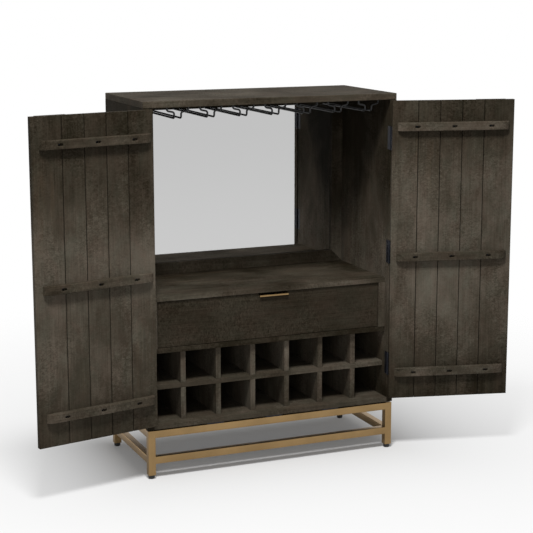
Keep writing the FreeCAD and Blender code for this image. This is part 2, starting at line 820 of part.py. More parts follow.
def build_base():
    """Four legs joined by upper and lower rails, with plates that carry the case and screwed feet."""
    out_across = half_width - d.base_setback
    out_depth = half_depth - d.base_setback
    in_across = out_across - d.tube_width
    in_depth = out_depth - d.tube_width
    legs = []
    plates = []
    for end_name, end in (("front", -1), ("rear", 1)):
        for name, side in DOOR_SIDES.items():
            x = outward(side, in_across, out_across)
            y = outward(end, in_depth, out_depth)
            key = f"{end_name}{name}"
            middle = ((x[0] + x[1]) / 2, (y[0] + y[1]) / 2)
            legs.append(leg(f"{key}Leg", x, y, middle))
            foot = levelling_foot(f"{key}Foot")
            move(foot, *middle)
            piece(f"levelling_foot_{end_name}_{name}", foot)
    for level, low in (("top", d.base_height - d.tube_width), ("lower", d.lower_rail_height)):
        z = (low, low + d.tube_width)
        rails = []
        for end in (-1, 1):
            long_y = outward(end, in_depth, out_depth)
            rails.append(tube(f"{level}LongRail", (-in_across, in_across), long_y, z, "x"))
            short_x = outward(end, in_across, out_across)
            rails.append(tube(f"{level}ShortRail", short_x, (-in_depth, in_depth), z, "y"))
        piece(f"base_{level}_rails", group(f"{level}Rails", rails))
    for end in (-1, 1):
        y = outward(end, in_depth + d.tube_wall, out_depth - d.tube_wall)
        for middle in (-in_across / 2, as_size(0), in_across / 2):
            x = about(middle, d.mounting_plate_length)
            plates.append(block("MountingPlate", x, y, (d.base_height, case_bottom)))
    piece("base_legs", group("BaseLegs", legs))
    piece("base_mounting_plates", group("MountingPlates", plates))


def leg(name, x, y, middle):
    """A leg of square tube, closed at its foot by a welded plug with a hole for the foot's stem."""
    plug_top = d.foot_height + d.leg_plug
    bar = block(f"{name}Bar", x, y, (d.foot_height, d.base_height))
    hollow = block(
        f"{name}Hollow",
        (x[0] + d.tube_wall, x[1] - d.tube_wall),
        (y[0] + d.tube_wall, y[1] - d.tube_wall),
        (plug_top, d.base_height + d.overrun),
    )
    bore_start = d.foot_height - d.overrun
    bore_length = d.leg_plug + d.overrun * 2
    bore = rod(f"{name}Bore", d.stem_radius + d.stem_clearance, bore_length, (*middle, bore_start))
    return carved(name, bar, [hollow, bore])


def levelling_foot(name):
    """A glide on a screwed stem: a many-sided block whose lower edge is cut back to the sole, and the stem."""
    shoulder = d.foot_height - d.foot_gap
    blank = many_sided(f"{name}Blank", d.foot_radius, shoulder)
    glide = doc.addObject("PartDesign::Body", f"{name}Glide")
    glide.BaseFeature = blank
    sole_face = f"Face{FOOT_SIDES + 1}"
    edge = glide.newObject("PartDesign::Chamfer", f"{name}Edge")
    edge.Base = (glide.Group[0], [sole_face])
    edge.ChamferType = "Two distances"
    bind(edge, "Size", d.foot_rounding)
    bind(edge, "Size2", d.foot_radius - d.foot_sole_radius)
    stem = many_sided(f"{name}Stem", d.stem_radius, shoulder + d.stem_length)
    return joined(name, [glide, stem])


def many_sided(name, radius, height):
    """A flat-sided round bar that stands on the floor's plane."""
    bar = doc.addObject("Part::Prism", name)
    bar.Polygon = FOOT_SIDES
    bind(bar, "Circumradius", radius)
    bind(bar, "Height", height)
    return bar


def check():
    """Stop if any object of the document failed, or if a piece has no valid solid."""
    for thing in doc.Objects:
        if "Invalid" in thing.State or "Error" in thing.State:
            raise RuntimeError(f"{thing.Name} failed: {thing.State}")
    for thing in pieces:
        if thing.Shape.isNull() or not thing.Shape.isValid() or not thing.Shape.Solids:
            raise RuntimeError(f"{thing.Label} has no valid solid")


build_case()
build_bottle_rack()
build_mirror()
build_stemware_racks()
build_drawer()
for door_name, door_side in DOOR_SIDES.items():
    build_door(door_name, door_side)
build_hinges()
build_base()
doc.recompute()
check()
os.makedirs("parts", exist_ok=True)
for finished in pieces:
    finished.Shape.exportStep(f"parts/{finished.Label}.step")
print(len(pieces), "pieces,", sum(len(p.Shape.Solids) for p in pieces), "solids")
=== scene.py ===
"""Surfaces, finishes and stage of a two-door bar cabinet on a square-tube brass base, over its frame."""

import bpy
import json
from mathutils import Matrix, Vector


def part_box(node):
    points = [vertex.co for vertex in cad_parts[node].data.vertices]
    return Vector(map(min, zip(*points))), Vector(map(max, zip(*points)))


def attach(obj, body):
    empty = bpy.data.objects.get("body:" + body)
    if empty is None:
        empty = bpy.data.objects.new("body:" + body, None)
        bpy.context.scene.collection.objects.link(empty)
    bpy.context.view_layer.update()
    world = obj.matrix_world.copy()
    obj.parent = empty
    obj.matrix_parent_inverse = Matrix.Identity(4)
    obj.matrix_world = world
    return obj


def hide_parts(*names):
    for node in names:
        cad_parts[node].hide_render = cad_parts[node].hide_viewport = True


bl_info = {
    "name": "Bar cabinet finish",
    "version": (1, 0, 0),
    "blender": (4, 5, 0),
    "location": "View3D > Sidebar > Cabinet",
    "description": "Surfaces, finishes and stage of a two-door bar cabinet",
    "category": "Object",
}

import json
import math

import bmesh
import bpy
import numpy as np
from mathutils import Vector

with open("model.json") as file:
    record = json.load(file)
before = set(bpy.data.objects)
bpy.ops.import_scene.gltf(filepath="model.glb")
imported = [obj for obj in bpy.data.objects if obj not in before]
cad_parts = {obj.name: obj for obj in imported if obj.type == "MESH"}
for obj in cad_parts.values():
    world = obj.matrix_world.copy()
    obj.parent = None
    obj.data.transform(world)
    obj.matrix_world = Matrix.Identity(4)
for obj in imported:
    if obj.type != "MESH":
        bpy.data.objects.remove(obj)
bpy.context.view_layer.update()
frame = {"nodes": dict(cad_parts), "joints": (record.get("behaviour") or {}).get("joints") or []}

SIDES = {"left": -1, "right": 1}
CORNERS = ("front_left", "front_right", "rear_left", "rear_right")
ACROSS, DEEP, UP = 0, 1, 2
UPRIGHT = np.array([0.0, 0.0, 1.0])

# Shares of a batten's length and a door's width, and the heights and tones of the doors' stain
SLOT_SHARES = (0.165, 0.5, 0.835)
BOARD_SHARES = (0.213, 0.1805, 0.1805, 0.1805, 0.2455)
BOARD_TONE_STEP = 0.004
DOOR_LIFTS = {"left": (0.58, 0.10, 0.85, 0.72, 1.06), "right": (0.46, 0.19, 0.60, 0.95, 1.20)}
DOOR_TONES = {"left": -0.04, "right": -0.135}
NAME_TONE_STEP = 0.6180339

# Sizes in metres that a user has no need to change
MADE_MERGE, MADE_FLAT, SOLID_MERGE = 2e-6, 1e-6, 1e-5
GROOVE_SHADE_EDGES = (0.0019, 0.0009)
HINGE_EDGE_BAND = 0.01
SLOT_MARGIN, SLOT_RIM, SLOT_SCREW_DOME = 0.004, 0.0007, 0.0018
SCREW_RISES = (-0.028, 0.0, 0.028)
SCREW_STAGGER, HINGE_SCREW_DOME, LEAF_FACE = 0.0035, 0.0005, 0.001
CASE_SCREW_INSET, DOOR_SCREW_INSET = 0.010, 0.0072
PIN_GAP, BUTTON_RADIUS, BUTTON_RISE = 0.1, 0.0026, 0.0016
PULL_EDGE = 0.0004
SOLE_RADIUS, GLIDE_RADIUS, GLIDE_DOME = 0.0075, 0.011, 0.005
GLIDE_HEIGHT, GLIDE_ROUND = 0.0132, 0.001
STEM_FOOT, STEM_RADIUS, THREAD_PITCH, THREAD_DEPTH = 0.0125, 0.004, 0.00125, 0.0006
FLOOR_RADIUS, FLOOR_FADE = 12.0, 0.9

# Shares: of a screw head's radius and height, of the case screws' stagger and of the pull's sheet
CROSS_WIDTH, CROSS_FLANK, CROSS_LENGTH, CROSS_END = 0.20, 0.08, 0.66, 0.10
CROSS_DEPTH, HEAD_FALL, SCREW_SEAT, DOOR_STAGGER, PULL_BEND = 0.7, 0.45, 0.9, 0.6, 0.9

# Angles in degrees: between flat faces, at a softened edge, at a rounded edge, at an edge shaded sharp
FLAT_ANGLE, SOFT_ANGLE, ROUND_ANGLE, SHARP_ANGLE = 0.5, 20.0, 50.0, 35.0

# Place, aim and size of each lamp, in metres, and the camera's sensor in millimetres
LAMPS = {"key": ((-0.9, -2.0, 4.2), (0.0, 0.0, 0.7), (0.9, 0.75)),
         "fill": ((-2.4, -4.4, 1.3), (0.0, 0.0, 0.6), (2.0, 1.6))}
SENSOR_WIDTH = 36.0


def colour_property(name, description, default):
    return bpy.props.FloatVectorProperty(
        name=name, description=description, default=default, subtype="COLOR", size=3, min=0.0, max=1.0)


def length_property(name, description, default):
    return bpy.props.FloatProperty(name=name, description=description, default=default, unit="LENGTH")


def share_property(name, description, default):
    return bpy.props.FloatProperty(
        name=name, description=description, default=default, subtype="FACTOR", min=0.0, max=1.0)


class CabinetWood(bpy.types.PropertyGroup):
    """The dark wood of the case, the doors and the drawer."""

    dark: colour_property("Dark grain", "Colour of the deepest streaks", (0.0120, 0.0094, 0.0056))
    middle: colour_property("Stain", "Colour of most of the stain", (0.0410, 0.0338, 0.0246))
    pale: colour_property("Pale grain", "Colour of the greyed, paler streaks", (0.112, 0.0965, 0.0768))
    warm: colour_property("Thin stain", "Warm colour where the stain is thin", (0.066, 0.044, 0.025))
    roughness: share_property("Roughness", "Middle roughness of the satin lacquer", 0.66)
    edge: length_property("Softened edge", "Round on the edges of every board", 0.0009)


class CabinetMetal(bpy.types.PropertyGroup):
    """The brass, the black metal and the mirror."""

    brass: colour_property("Brass", "Colour of the satin brass", (0.302, 0.198, 0.091))
    black: colour_property("Black", "Colour of the black wire and glides", (0.006, 0.006, 0.006))
    hinge: colour_property("Hinge", "Colour of the blackened hinges and screws", (0.017, 0.018, 0.024))
    silver: colour_property("Mirror", "Colour of the mirror's silvering", (0.565, 0.565, 0.565))
    tube_corner: length_property("Tube corner", "Outer radius of the square tube's corners", 0.0022)
    sheet: length_property("Pull sheet", "Thickness of the pull's bent sheet", 0.002)
    lip: length_property("Pull lip", "Height of the pull's folded lip", 0.0055)


class CabinetFittings(bpy.types.PropertyGroup):
    """Small sizes beyond those of the frame: battens, boards' joints, racks and screws."""

    slot_length: length_property("Slot length", "Length of a batten's screw slot", 0.019)
    slot_width: length_property("Slot width", "Width of a batten's screw slot", 0.0084)
    slot_depth: length_property("Slot depth", "Depth of a batten's screw slot", 0.012)
    nose: length_property("Batten nose", "Length of the curved end of a batten", 0.038)
    nose_end: length_property("Nose end", "Thickness left at a batten's end", 0.007)
    batten_edge: length_property("Batten edge", "Round on a batten's long edges", 0.0016)
    groove: length_property("Board groove", "Bevel of a board's edges at a joint", 0.0022)
    joint_gap: length_property("Joint gap", "Half the gap between two boards", 0.00005)
    wire: length_property("Wire radius", "Radius of the stemware wire", 0.0031)
    bend: length_property("Leg bend", "Radius of the bends in a rack's front leg", 0.008)
    rail_bend: length_property("Rail bend", "Radius of the bend from a rail up to its leg", 0.009)
    rail_gap: length_property("Rail gap", "Distance between a rack's two rails", 0.024)
    shoulder: length_property("Shoulder rise", "Height of a leg's shoulder above its rail", 0.022)
    slope: bpy.props.FloatProperty(
        name="Shoulder slope", description="Slope of a leg's shoulder", subtype="ANGLE",
        default=math.radians(11.0))
    screw: length_property("Screw head", "Radius of a screw's head", 0.0027)


class CabinetStage(bpy.types.PropertyGroup):
    """Camera, lights and floor."""

    place: bpy.props.FloatVectorProperty(
        name="Camera place", description="Where the camera stands", subtype="XYZ", unit="LENGTH", size=3,
        default=(-1.95106, -4.78008, 1.66604))
    turn: bpy.props.FloatVectorProperty(
        name="Camera turn", description="Tilt, roll and heading of the camera", subtype="EULER", size=3,
        default=(math.radians(78.963), math.radians(0.05), math.radians(-22.815)))
    lens: bpy.props.FloatProperty(
        name="Lens", description="Focal length of the camera", unit="CAMERA", default=100.94)
    sky: bpy.props.FloatProperty(
        name="Room light", description="Strength of the even light from all round", default=0.23)
    key: bpy.props.FloatProperty(
        name="Key light", description="Power of the lamp above the front", unit="POWER", default=230.0)
    fill: bpy.props.FloatProperty(
        name="Fill light", description="Power of the low lamp in front", unit="POWER", default=54.0)
    floor: colour_property("Floor", "Colour of the pale floor", (0.62, 0.62, 0.62))
    floor_glow: colour_property("Floor white", "Colour of the floor outside the shadow", (1.0, 1.0, 1.0))
    floor_ease: share_property("Shadow ease", "Share of the shadow that is taken off far out", 0.84)
    floor_keep: share_property("Shadow keep", "Share of that ease held back under the cabinet", 0.88)
    floor_soft: length_property("Shadow spread", "Distance over which the shadow fades", 0.30)
    floor_reach: length_property("Floor reach", "Distance at which the floor has faded to white", 2.6)


# Shader nodes

class Value:
    """A shader socket that works in Python expressions, each of which adds its Math node."""

    def __init__(self, finish, socket):
        self.finish = finish
        self.socket = socket

    def math(self, operation, first, second):
        return self.finish.node("Math", {"operation": operation}, {0: first, 1: second})

    def __add__(self, other):
        return self.math("ADD", self, other)

    def __sub__(self, other):
        return self.math("SUBTRACT", self, other)

    def __rsub__(self, other):
        return self.math("SUBTRACT", other, self)

    def __mul__(self, other):
        return self.math("MULTIPLY", self, other)

    __radd__ = __add__


class Finish:
    """The node tree of a material or of the world, filled through one method."""

    def __init__(self, tree):
        self.tree = tree
        tree.nodes.clear()

    def node(self, kind, settings=None, inputs=None, output=0):
        """Adds a shader node, sets it up, feeds its sockets with values or links and gives one output."""
        added = self.tree.nodes.new(f"ShaderNode{kind}")
        for key, value in (settings or {}).items():
            if key == "stops":
                for stop, (position, colour) in zip(stops_of(added, len(value)), value):
                    stop.position = position
                    stop.color = (*colour, 1.0)
            else:
                setattr(added, key, value)
        for key, value in (inputs or {}).items():
            if isinstance(value, Value):
                self.tree.links.new(value.socket, added.inputs[key])
            else:
                added.inputs[key].default_value = value
        return Value(self, added.outputs[output]) if added.outputs else None

    def place(self, turn=0.0):
        """Object coordinates, turned about the upright axis for a door's own frame."""
        here = self.node("TexCoord", output="Object")
        if turn:
            here = self.node("Mapping", None, {"Vector": here, "Rotation": (0.0, 0.0, turn)})
        return here

    def vector(self, operation, first, second):
        return self.node("VectorMath", {"operation": operation}, {0: first, 1: second})

    def noise(self, place, scales, detail=2.0, roughness=0.5, distortion=0.0):
        """Soft noise about 0.5, with its own scale for each axis, in cells a metre."""
        stretched = self.vector("MULTIPLY", place, scales)
        values = {"Vector": stretched, "Scale": 1.0, "Detail": detail, "Roughness": roughness,
                  "Distortion": distortion}
        return self.node("TexNoise", None, values, "Fac")

    def span(self, value, low, high, out_low=0.0, out_high=1.0):
        """A value from low to high, smoothly mapped to another span."""
        ends = {"Value": value, "From Min": low, "From Max": high, "To Min": out_low, "To Max": out_high}
        return self.node("MapRange", {"interpolation_type": "SMOOTHSTEP"}, ends)

    def ramp(self, value, stops):
        return self.node("ValToRGB", {"stops": stops}, {"Fac": value})

    def mix(self, share, first, second, blend="MIX"):
        """Two colours, mixed by a share."""
        settings = {"data_type": "RGBA", "blend_type": blend}
        return self.node("Mix", settings, {0: share, 6: first, 7: second}, 2)

    def bump(self, height, distance, strength):
        return self.node("Bump", None, {"Height": height, "Distance": distance, "Strength": strength})

    def seen(self):
        """One for what the camera sees, straight or in a mirror or glass, and nothing for other light."""
        kinds = ("Camera", "Glossy", "Transmission")
        camera, glossy, clear = (self.node("LightPath", output=f"Is {kind} Ray") for kind in kinds)
        return camera + glossy + clear

    def surface(self, **sockets):
        """The Principled shader and the output; a socket's name is written with _ for its spaces."""
        named = {key.replace("_", " "): value for key, value in sockets.items()}
        shader = self.node("BsdfPrincipled", None, named)
        self.node("OutputMaterial", None, {"Surface": shader})


def stops_of(ramp_node, count):
    """The ramp's stops, as many as are wanted."""
    stops = ramp_node.color_ramp.elements
    while len(stops) < count:
        stops.new(1.0)
    return stops


def material_of(name, fill, *look, **more):
    """A material by its name, made and filled with nodes when it is first asked for."""
    material = bpy.data.materials.get(name)
    if not material:
        material = bpy.data.materials.new(name)
        material.use_nodes = True
        fill(Finish(material.node_tree), *look, **more)
    return material


def shade(colour, share):
    return tuple(share * part for part in colour)


# Finishes

def wood(finish, look, grain, turn=0.0, lift=None, tone=0.0, calm=1.0, joints=None):
    """Dark stained wood as a solid pattern, drawn out along the grain.

    Wide mottling, blotches, streaks, fine fibre, short pores and cross-grain flecks are added to one depth,
    which runs from the dark over the middle to the pale colour. Warm patches show where the stain is thin,
    and a slow drift goes from reddish to olive. The board attribute moves the pattern. Lift is an amount
    that pales the wood between four heights; on the top and the counter it is painted light on the front
    edge and painted shade on the top face. Tone pales it all over, and calm scales the pattern. Joints are
    the first place, the pitch and the count of grooves across the grain, where painted shade darkens the
    grooves.
    """
    board = finish.node("Attribute", {"attribute_name": "board"}, output="Fac")
    here = finish.place(turn)
    shift = finish.node("CombineXYZ", None, {"X": board * 3.7, "Y": board * 5.3, "Z": board * 7.9})
    place = finish.vector("ADD", here, shift)

    def drawn(across, along, **noise):
        scales = [across] * 3
        scales[grain] = along
        return finish.noise(place, scales, **noise)

    mottle = drawn(5.0, 3.6, detail=2.0, roughness=0.5, distortion=0.6)
    blotch = drawn(17.0, 9.0, detail=3.0, roughness=0.6, distortion=0.8)
    streak = drawn(75.0, 2.4, detail=4.0, roughness=0.65, distortion=0.5)
    fibre = drawn(420.0, 7.0, detail=3.0, roughness=0.6)
    pores = finish.span(drawn(900.0, 26.0, detail=1.0), 0.58, 0.74)
    fleck = drawn(100.0, 170.0, detail=2.0, roughness=0.6, distortion=1.1)
    figured = finish.span(drawn(7.0, 5.0, detail=1.0), 0.36, 0.62, 0.35, 1.0)
    depth = (mottle - 0.5) * (0.95 * calm) + (blotch - 0.5) * (0.55 * calm)
    depth = depth + (streak - 0.5) * (0.30 * calm)
    depth = depth + (fibre - 0.5) * 0.34 - pores * 0.10 + (fleck - 0.5) * figured * 0.85 + 0.40 + tone
    if lift:
        amount, foot, low, high, head = lift
        height = finish.node("SeparateXYZ", None, {0: here}, "Z")
        belly = finish.span(height, foot, low) * finish.span(height, head, high)
        depth = depth + (belly - 0.26) * amount
    colour = finish.ramp(depth, ((0.0, look.dark), (0.42, look.middle), (1.0, look.pale)))
    thin = finish.span(drawn(9.0, 3.0, detail=2.0), 0.54, 0.72)
    thin = thin * finish.span(streak, 0.42, 0.64) * (0.20 * calm)
    colour = finish.mix(thin, colour, (*look.warm, 1.0))
    drift = finish.ramp(drawn(16.0, 9.0, detail=4.0, roughness=0.7, distortion=0.6),
                        ((0.36, (1.045, 0.982, 0.965)), (0.64, (0.965, 1.012, 0.99))))
    colour = finish.mix(1.0, colour, drift, "MULTIPLY")
    # Painted shade darkens the wood in the grooves between the boards
    if joints:
        groove_shade = groove_mask(finish, here, *joints) * 0.75
        colour = finish.mix(groove_shade, colour, (*shade(look.dark, 0.3), 1.0))
    relief = fibre * 0.6 - pores * 0.9 + streak * 0.25 + fleck * 0.3
    finish.surface(
        Base_Color=colour, Roughness=look.roughness + 0.08 - depth * 0.14 + pores * 0.10,
        Normal=finish.bump(relief, 0.0004, 0.35), Specular_IOR_Level=0.04)


def groove_mask(finish, here, first, pitch, count):
    """One within a groove and nothing beside it, by the distance to the nearest of evenly spaced lines."""
    across = finish.node("SeparateXYZ", None, {0: here}, "X")
    steps = (across - first) * (1.0 / pitch)
    nearest = finish.node("Math", {"operation": "ROUND"}, {0: steps})
    nearest = finish.node("Clamp", None, {"Value": nearest, "Min": 0.0, "Max": count - 1.0})
    beside = finish.node("Math", {"operation": "ABSOLUTE"}, {0: (steps - nearest) * pitch})
    return finish.span(beside, *GROOVE_SHADE_EDGES)


def case_wood(scene, grain, turn=0.0, key="", **look):
    """The case's wood with its grain along one axis."""
    return material_of(f"dark_wood_{'xyz'[grain]}{key}", wood, scene.cabinet_wood, grain, turn, **look)


def drawer_wood(scene, grain):
    name = f"drawer_wood_{'xyz'[grain]}"
    return material_of(name, wood, scene.cabinet_wood, grain, tone=-0.21, calm=0.35)


def brass(finish, colour):
    """Satin brass: fine brushed lines along the tube, soft cloudy tarnish and a slightly uneven colour."""
    place = finish.place()
    cloud = finish.noise(place, (9.0, 9.0, 9.0), detail=3.0, roughness=0.6)
    lines = finish.noise(place, (900.0, 900.0, 30.0)) + finish.noise(place, (30.0, 900.0, 900.0))
    tone = finish.span(cloud, 0.30, 0.72)
    tint = finish.ramp(tone, ((0.0, shade(colour, 0.84)), (1.0, shade(colour, 1.06))))
    finish.surface(
        Base_Color=tint, Metallic=1.0, Roughness=0.30 + cloud * 0.12 + lines * 0.03,
        Normal=finish.bump(lines, 0.00006, 0.25))


def black_metal(finish, colour, roughness, metallic):
    """Black metal or plastic: a fine orange-peel skin with faint dusty patches."""
    place = finish.place()
    skin = finish.noise(place, (1100.0, 1100.0, 1100.0))
    dust = finish.noise(place, (24.0, 24.0, 24.0), detail=3.0)
    tint = finish.ramp(dust, ((0.3, shade(colour, 0.8)), (0.75, shade(colour, 1.45))))
    finish.surface(
        Base_Color=tint, Metallic=metallic,
        Roughness=roughness + (dust - 0.5) * 0.2 + (skin - 0.5) * 0.1,
        Normal=finish.bump(skin, 0.00005, 0.3), Specular_IOR_Level=0.4)


def brushed_brass(scene):
    return material_of("brushed_brass", brass, scene.cabinet_metal.brass)


def blackened_steel(scene):
    colour = scene.cabinet_metal.hinge
    return material_of("blackened_steel", black_metal, colour, roughness=0.40, metallic=0.7)


def runner_zinc(finish):
    """Bright zinc of the drawer's runners, with its faint spangle."""
    place = finish.place()
    spangle = finish.node("TexVoronoi", None, {"Vector": place, "Scale": 140.0}, "Distance")
    tint = finish.ramp(spangle, ((0.0, (0.46, 0.47, 0.48)), (1.0, (0.60, 0.61, 0.62))))
    finish.surface(Base_Color=tint, Metallic=1.0, Roughness=0.34 + spangle * 0.14)


def mirror_silver(finish, colour):
    """Silvered glass: a smooth metal plane with a barely uneven polish, and a painted reflection that dims
    it a little towards the top.
    """
    place = finish.place()
    haze = finish.noise(place, (3.0, 3.0, 3.0))
    # Painted reflection: the silver's colour fades darker with height
    height = finish.node("SeparateXYZ", None, {0: place}, "Z")
    painted_reflection_fade = finish.span(height, 0.65, 1.20) * 0.9 + haze * 0.1
    tint = finish.ramp(painted_reflection_fade, ((0.0, shade(colour, 1.045)), (1.0, shade(colour, 0.94))))
    finish.surface(Base_Color=tint, Metallic=1.0, Roughness=0.015 + haze * 0.015)


def brown_board(finish):
    """Pressed hardboard: short fibres in every direction on a brown ground."""
    place = finish.place()
    felt = finish.noise(place, (260.0, 260.0, 260.0), detail=4.0, roughness=0.7, distortion=1.5)
    cloud = finish.noise(place, (12.0, 12.0, 12.0))
    stops = ((0.3, (0.060, 0.038, 0.022)), (0.7, (0.115, 0.075, 0.045)))
    tint = finish.ramp(felt * 0.7 + cloud * 0.3, stops)
    finish.surface(Base_Color=tint, Roughness=0.72 + felt * 0.15, Normal=finish.bump(felt, 0.0002, 0.4))


# Surfaces

def grid_quads(rows, columns, closed):
    """Corner numbers of a grid's quads; a closed grid joins its last column to its first."""
    last = columns if closed else columns - 1
    row, column = np.meshgrid(np.arange(rows - 1), np.arange(last), indexing="ij")
    after = (column + 1) % columns
    corners = [row * columns + column, row * columns + after, (row + 1) * columns + after,
               (row + 1) * columns + column]
    return np.stack(corners, axis=-1).reshape(-1, 4)


def made(name, grids, body, slot, material, *nodes):
    """A piece from grids of points, each with a flag for a closed round; open rims are filled flat."""
    points, quads, start = [], [], 0
    for grid, closed in grids:
        rows, columns = grid.shape[:2]
        points.append(grid.reshape(-1, 3))
        quads.append(grid_quads(rows, columns, closed) + start)
        start += rows * columns
    mesh = bpy.data.meshes.new(name)
    mesh.from_pydata(np.concatenate(points).tolist(), [], np.concatenate(quads).tolist())
    shell = bmesh.new()
    shell.from_mesh(mesh)
    bmesh.ops.remove_doubles(shell, verts=shell.verts, dist=MADE_MERGE)
    bmesh.ops.dissolve_degenerate(shell, dist=MADE_FLAT, edges=shell.edges)
    bmesh.ops.holes_fill(shell, edges=[edge for edge in shell.edges if edge.is_boundary], sides=0)
    bmesh.ops.recalc_face_normals(shell, faces=shell.faces)
    shell.to_mesh(mesh)
    shell.free()
    return settled(name, mesh, body, material, nodes)


def settled(name, mesh, body, material, nodes):
    """Links a finished mesh as a piece on its body, in place of the nodes that it stands for."""
    mesh.shade_smooth()
    mesh.set_sharp_from_angle(angle=math.radians(SHARP_ANGLE))
    mesh.materials.clear()
    mesh.materials.append(material)
    piece = bpy.data.objects.new(name, mesh)
    bpy.context.scene.collection.objects.link(piece)
    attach(piece, body)
    if nodes:
        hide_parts(*nodes)
    return piece


def softened(node, body, material, width):
    """A solid's own mesh with its triangles joined to flat faces and every edge rounded."""
    mesh = frame["nodes"][node].data.copy()
    for attribute in ("custom_normal", "sharp_edge", "sharp_face"):
        if attribute in mesh.attributes:
            mesh.attributes.remove(mesh.attributes[attribute])
    shell = bmesh.new()
    shell.from_mesh(mesh)
    bmesh.ops.remove_doubles(shell, verts=shell.verts, dist=SOLID_MERGE)
    flat = math.radians(FLAT_ANGLE)
    bmesh.ops.dissolve_limit(shell, angle_limit=flat, verts=shell.verts, edges=shell.edges)
    shell.to_mesh(mesh)
    shell.free()
    piece = settled(f"{node}_finished", mesh, body, material, (node,))
    toned(piece, own_tone(node))
    rounded(piece, width, SOFT_ANGLE)


def finished(node, material):
    """Gives a node of the frame its finish."""
    mesh = frame["nodes"][node].data
    mesh.materials.clear()
    mesh.materials.append(material)


def toned(piece, tone):
    """Gives a piece its board tone, one number for all faces or one for each."""
    values = np.zeros(len(piece.data.polygons)) + tone
    piece.data.attributes.new("board", "FLOAT", "FACE").data.foreach_set("value", values)


def own_tone(name):
    """A number from 0 to 1 that stays with a name."""
    return (sum(name.encode()) * NAME_TONE_STEP) % 1.0


def rounded(piece, width, angle):
    """Rounds the edges of a piece that turn by more than an angle, in degrees."""
    rounding = piece.modifiers.new("rounded edges", "BEVEL")
    rounding.width = width
    rounding.segments = 2
    rounding.limit_method = "ANGLE"
    rounding.angle_limit = math.radians(angle)
    rounding.harden_normals = True


def vertices(mesh):
    points = np.zeros(len(mesh.vertices) * 3)
    mesh.vertices.foreach_get("co", points)
    return points.reshape(-1, 3)


def box_of(node):
    return tuple(np.array(corner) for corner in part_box(node))


def door_frame(side):
    """The pin's place and the turn from the shut door's own frame to the door as it stands."""
    joint = next(joint for joint in frame["joints"] if joint["name"] == f"{side}_door_hinge")
    turn = -math.radians(joint["range_deg"][0]) * joint["axis"][2]
    return np.array([*joint["pos_m"][:2], 0.0]), turn


def turned(points, turn):
    """Points turned about the upright axis."""
    cosine, sine = math.cos(turn), math.sin(turn)
    return points @ np.array([[cosine, sine, 0.0], [-sine, cosine, 0.0], [0.0, 0.0, 1.0]])


def hung(points, side):
    """Points of a shut door's own frame, carried to the door as it stands."""
    pin, turn = door_frame(side)
    return turned(points, turn) + pin


def shut(node, side):
    """A door solid's vertices in the shut door's own frame."""
    pin, turn = door_frame(side)
    return turned(vertices(frame["nodes"][node].data) - pin, -turn)


def ring(count):
    return np.linspace(0.0, 2.0 * np.pi, count, endpoint=False)


def wire_round(path, radius, domed, count=16):
    """A round wire: every point of the path carries a circle across the path's direction.

    The circle is spanned by the across axis, less what of it lies along the direction, and by that crossed
    with the direction. A domed start adds smaller circles, their radius and advance being the cosine and
    sine of a quarter turn.
    """
    path = np.asarray(path, float)
    ahead = np.gradient(path, axis=0)
    ahead /= np.linalg.norm(ahead, axis=1, keepdims=True)
    radii = np.full(len(path), radius)
    if domed:
        quarter = np.linspace(0.0, np.pi / 2, 6)[:0:-1]
        path = np.concatenate([path[0] - radius * np.sin(quarter[:, None]) * ahead[0], path])
        radii = np.concatenate([radius * np.cos(quarter), radii])
        ahead = np.concatenate([np.repeat(ahead[:1], len(quarter), axis=0), ahead])
    across = np.array([1.0, 0.0, 0.0]) - ahead[:, :1] * ahead
    across /= np.linalg.norm(across, axis=1, keepdims=True)
    other = np.cross(ahead, across)
    angle = ring(count)[None, :, None]
    spoke = np.cos(angle) * across[:, None, :] + np.sin(angle) * other[:, None, :]
    return path[:, None, :] + radii[:, None, None] * spoke


def turned_round(profile, centre, count):
    """A profile of radius and height carried round the upright axis through a centre."""
    profile = np.asarray(profile, float)
    angle = ring(count)
    spoke = np.stack([np.cos(angle), np.sin(angle), np.zeros(count)], axis=1)
    return centre + profile[:, 0, None, None] * spoke + profile[:, 1, None, None] * UPRIGHT


def square_bar(low, high, along, corner, steps=5):
    """A bar of square tube: a square outline, its corners quarter circles, carried along one axis."""
    low, high = np.asarray(low, float), np.asarray(high, float)
    cross = [axis for axis in range(3) if axis != along]
    turn = np.linspace(0.0, np.pi / 2, steps)
    angle = (np.arange(4)[:, None] * np.pi / 2 + turn).ravel()
    toward = np.repeat(np.array([[1, 1], [-1, 1], [-1, -1], [1, -1]]), steps, axis=0)
    middle, half = (low + high)[cross] / 2, (high - low)[cross] / 2
    circle = np.stack([np.cos(angle), np.sin(angle)], axis=1)
    outline = middle + toward * (half - corner) + corner * circle
    grid = np.zeros((2, len(outline), 3))
    grid[:, :, cross] = outline
    grid[0, :, along] = low[along]
    grid[1, :, along] = high[along]
    return grid


def arc(centre, radius, start, end, steps=7):
    """Points of an arc in a plane, from one angle to another, in degrees."""
    angle = np.radians(np.linspace(start, end, steps))
    return np.stack([centre[0] + radius * np.cos(angle), centre[1] + radius * np.sin(angle)], axis=1)


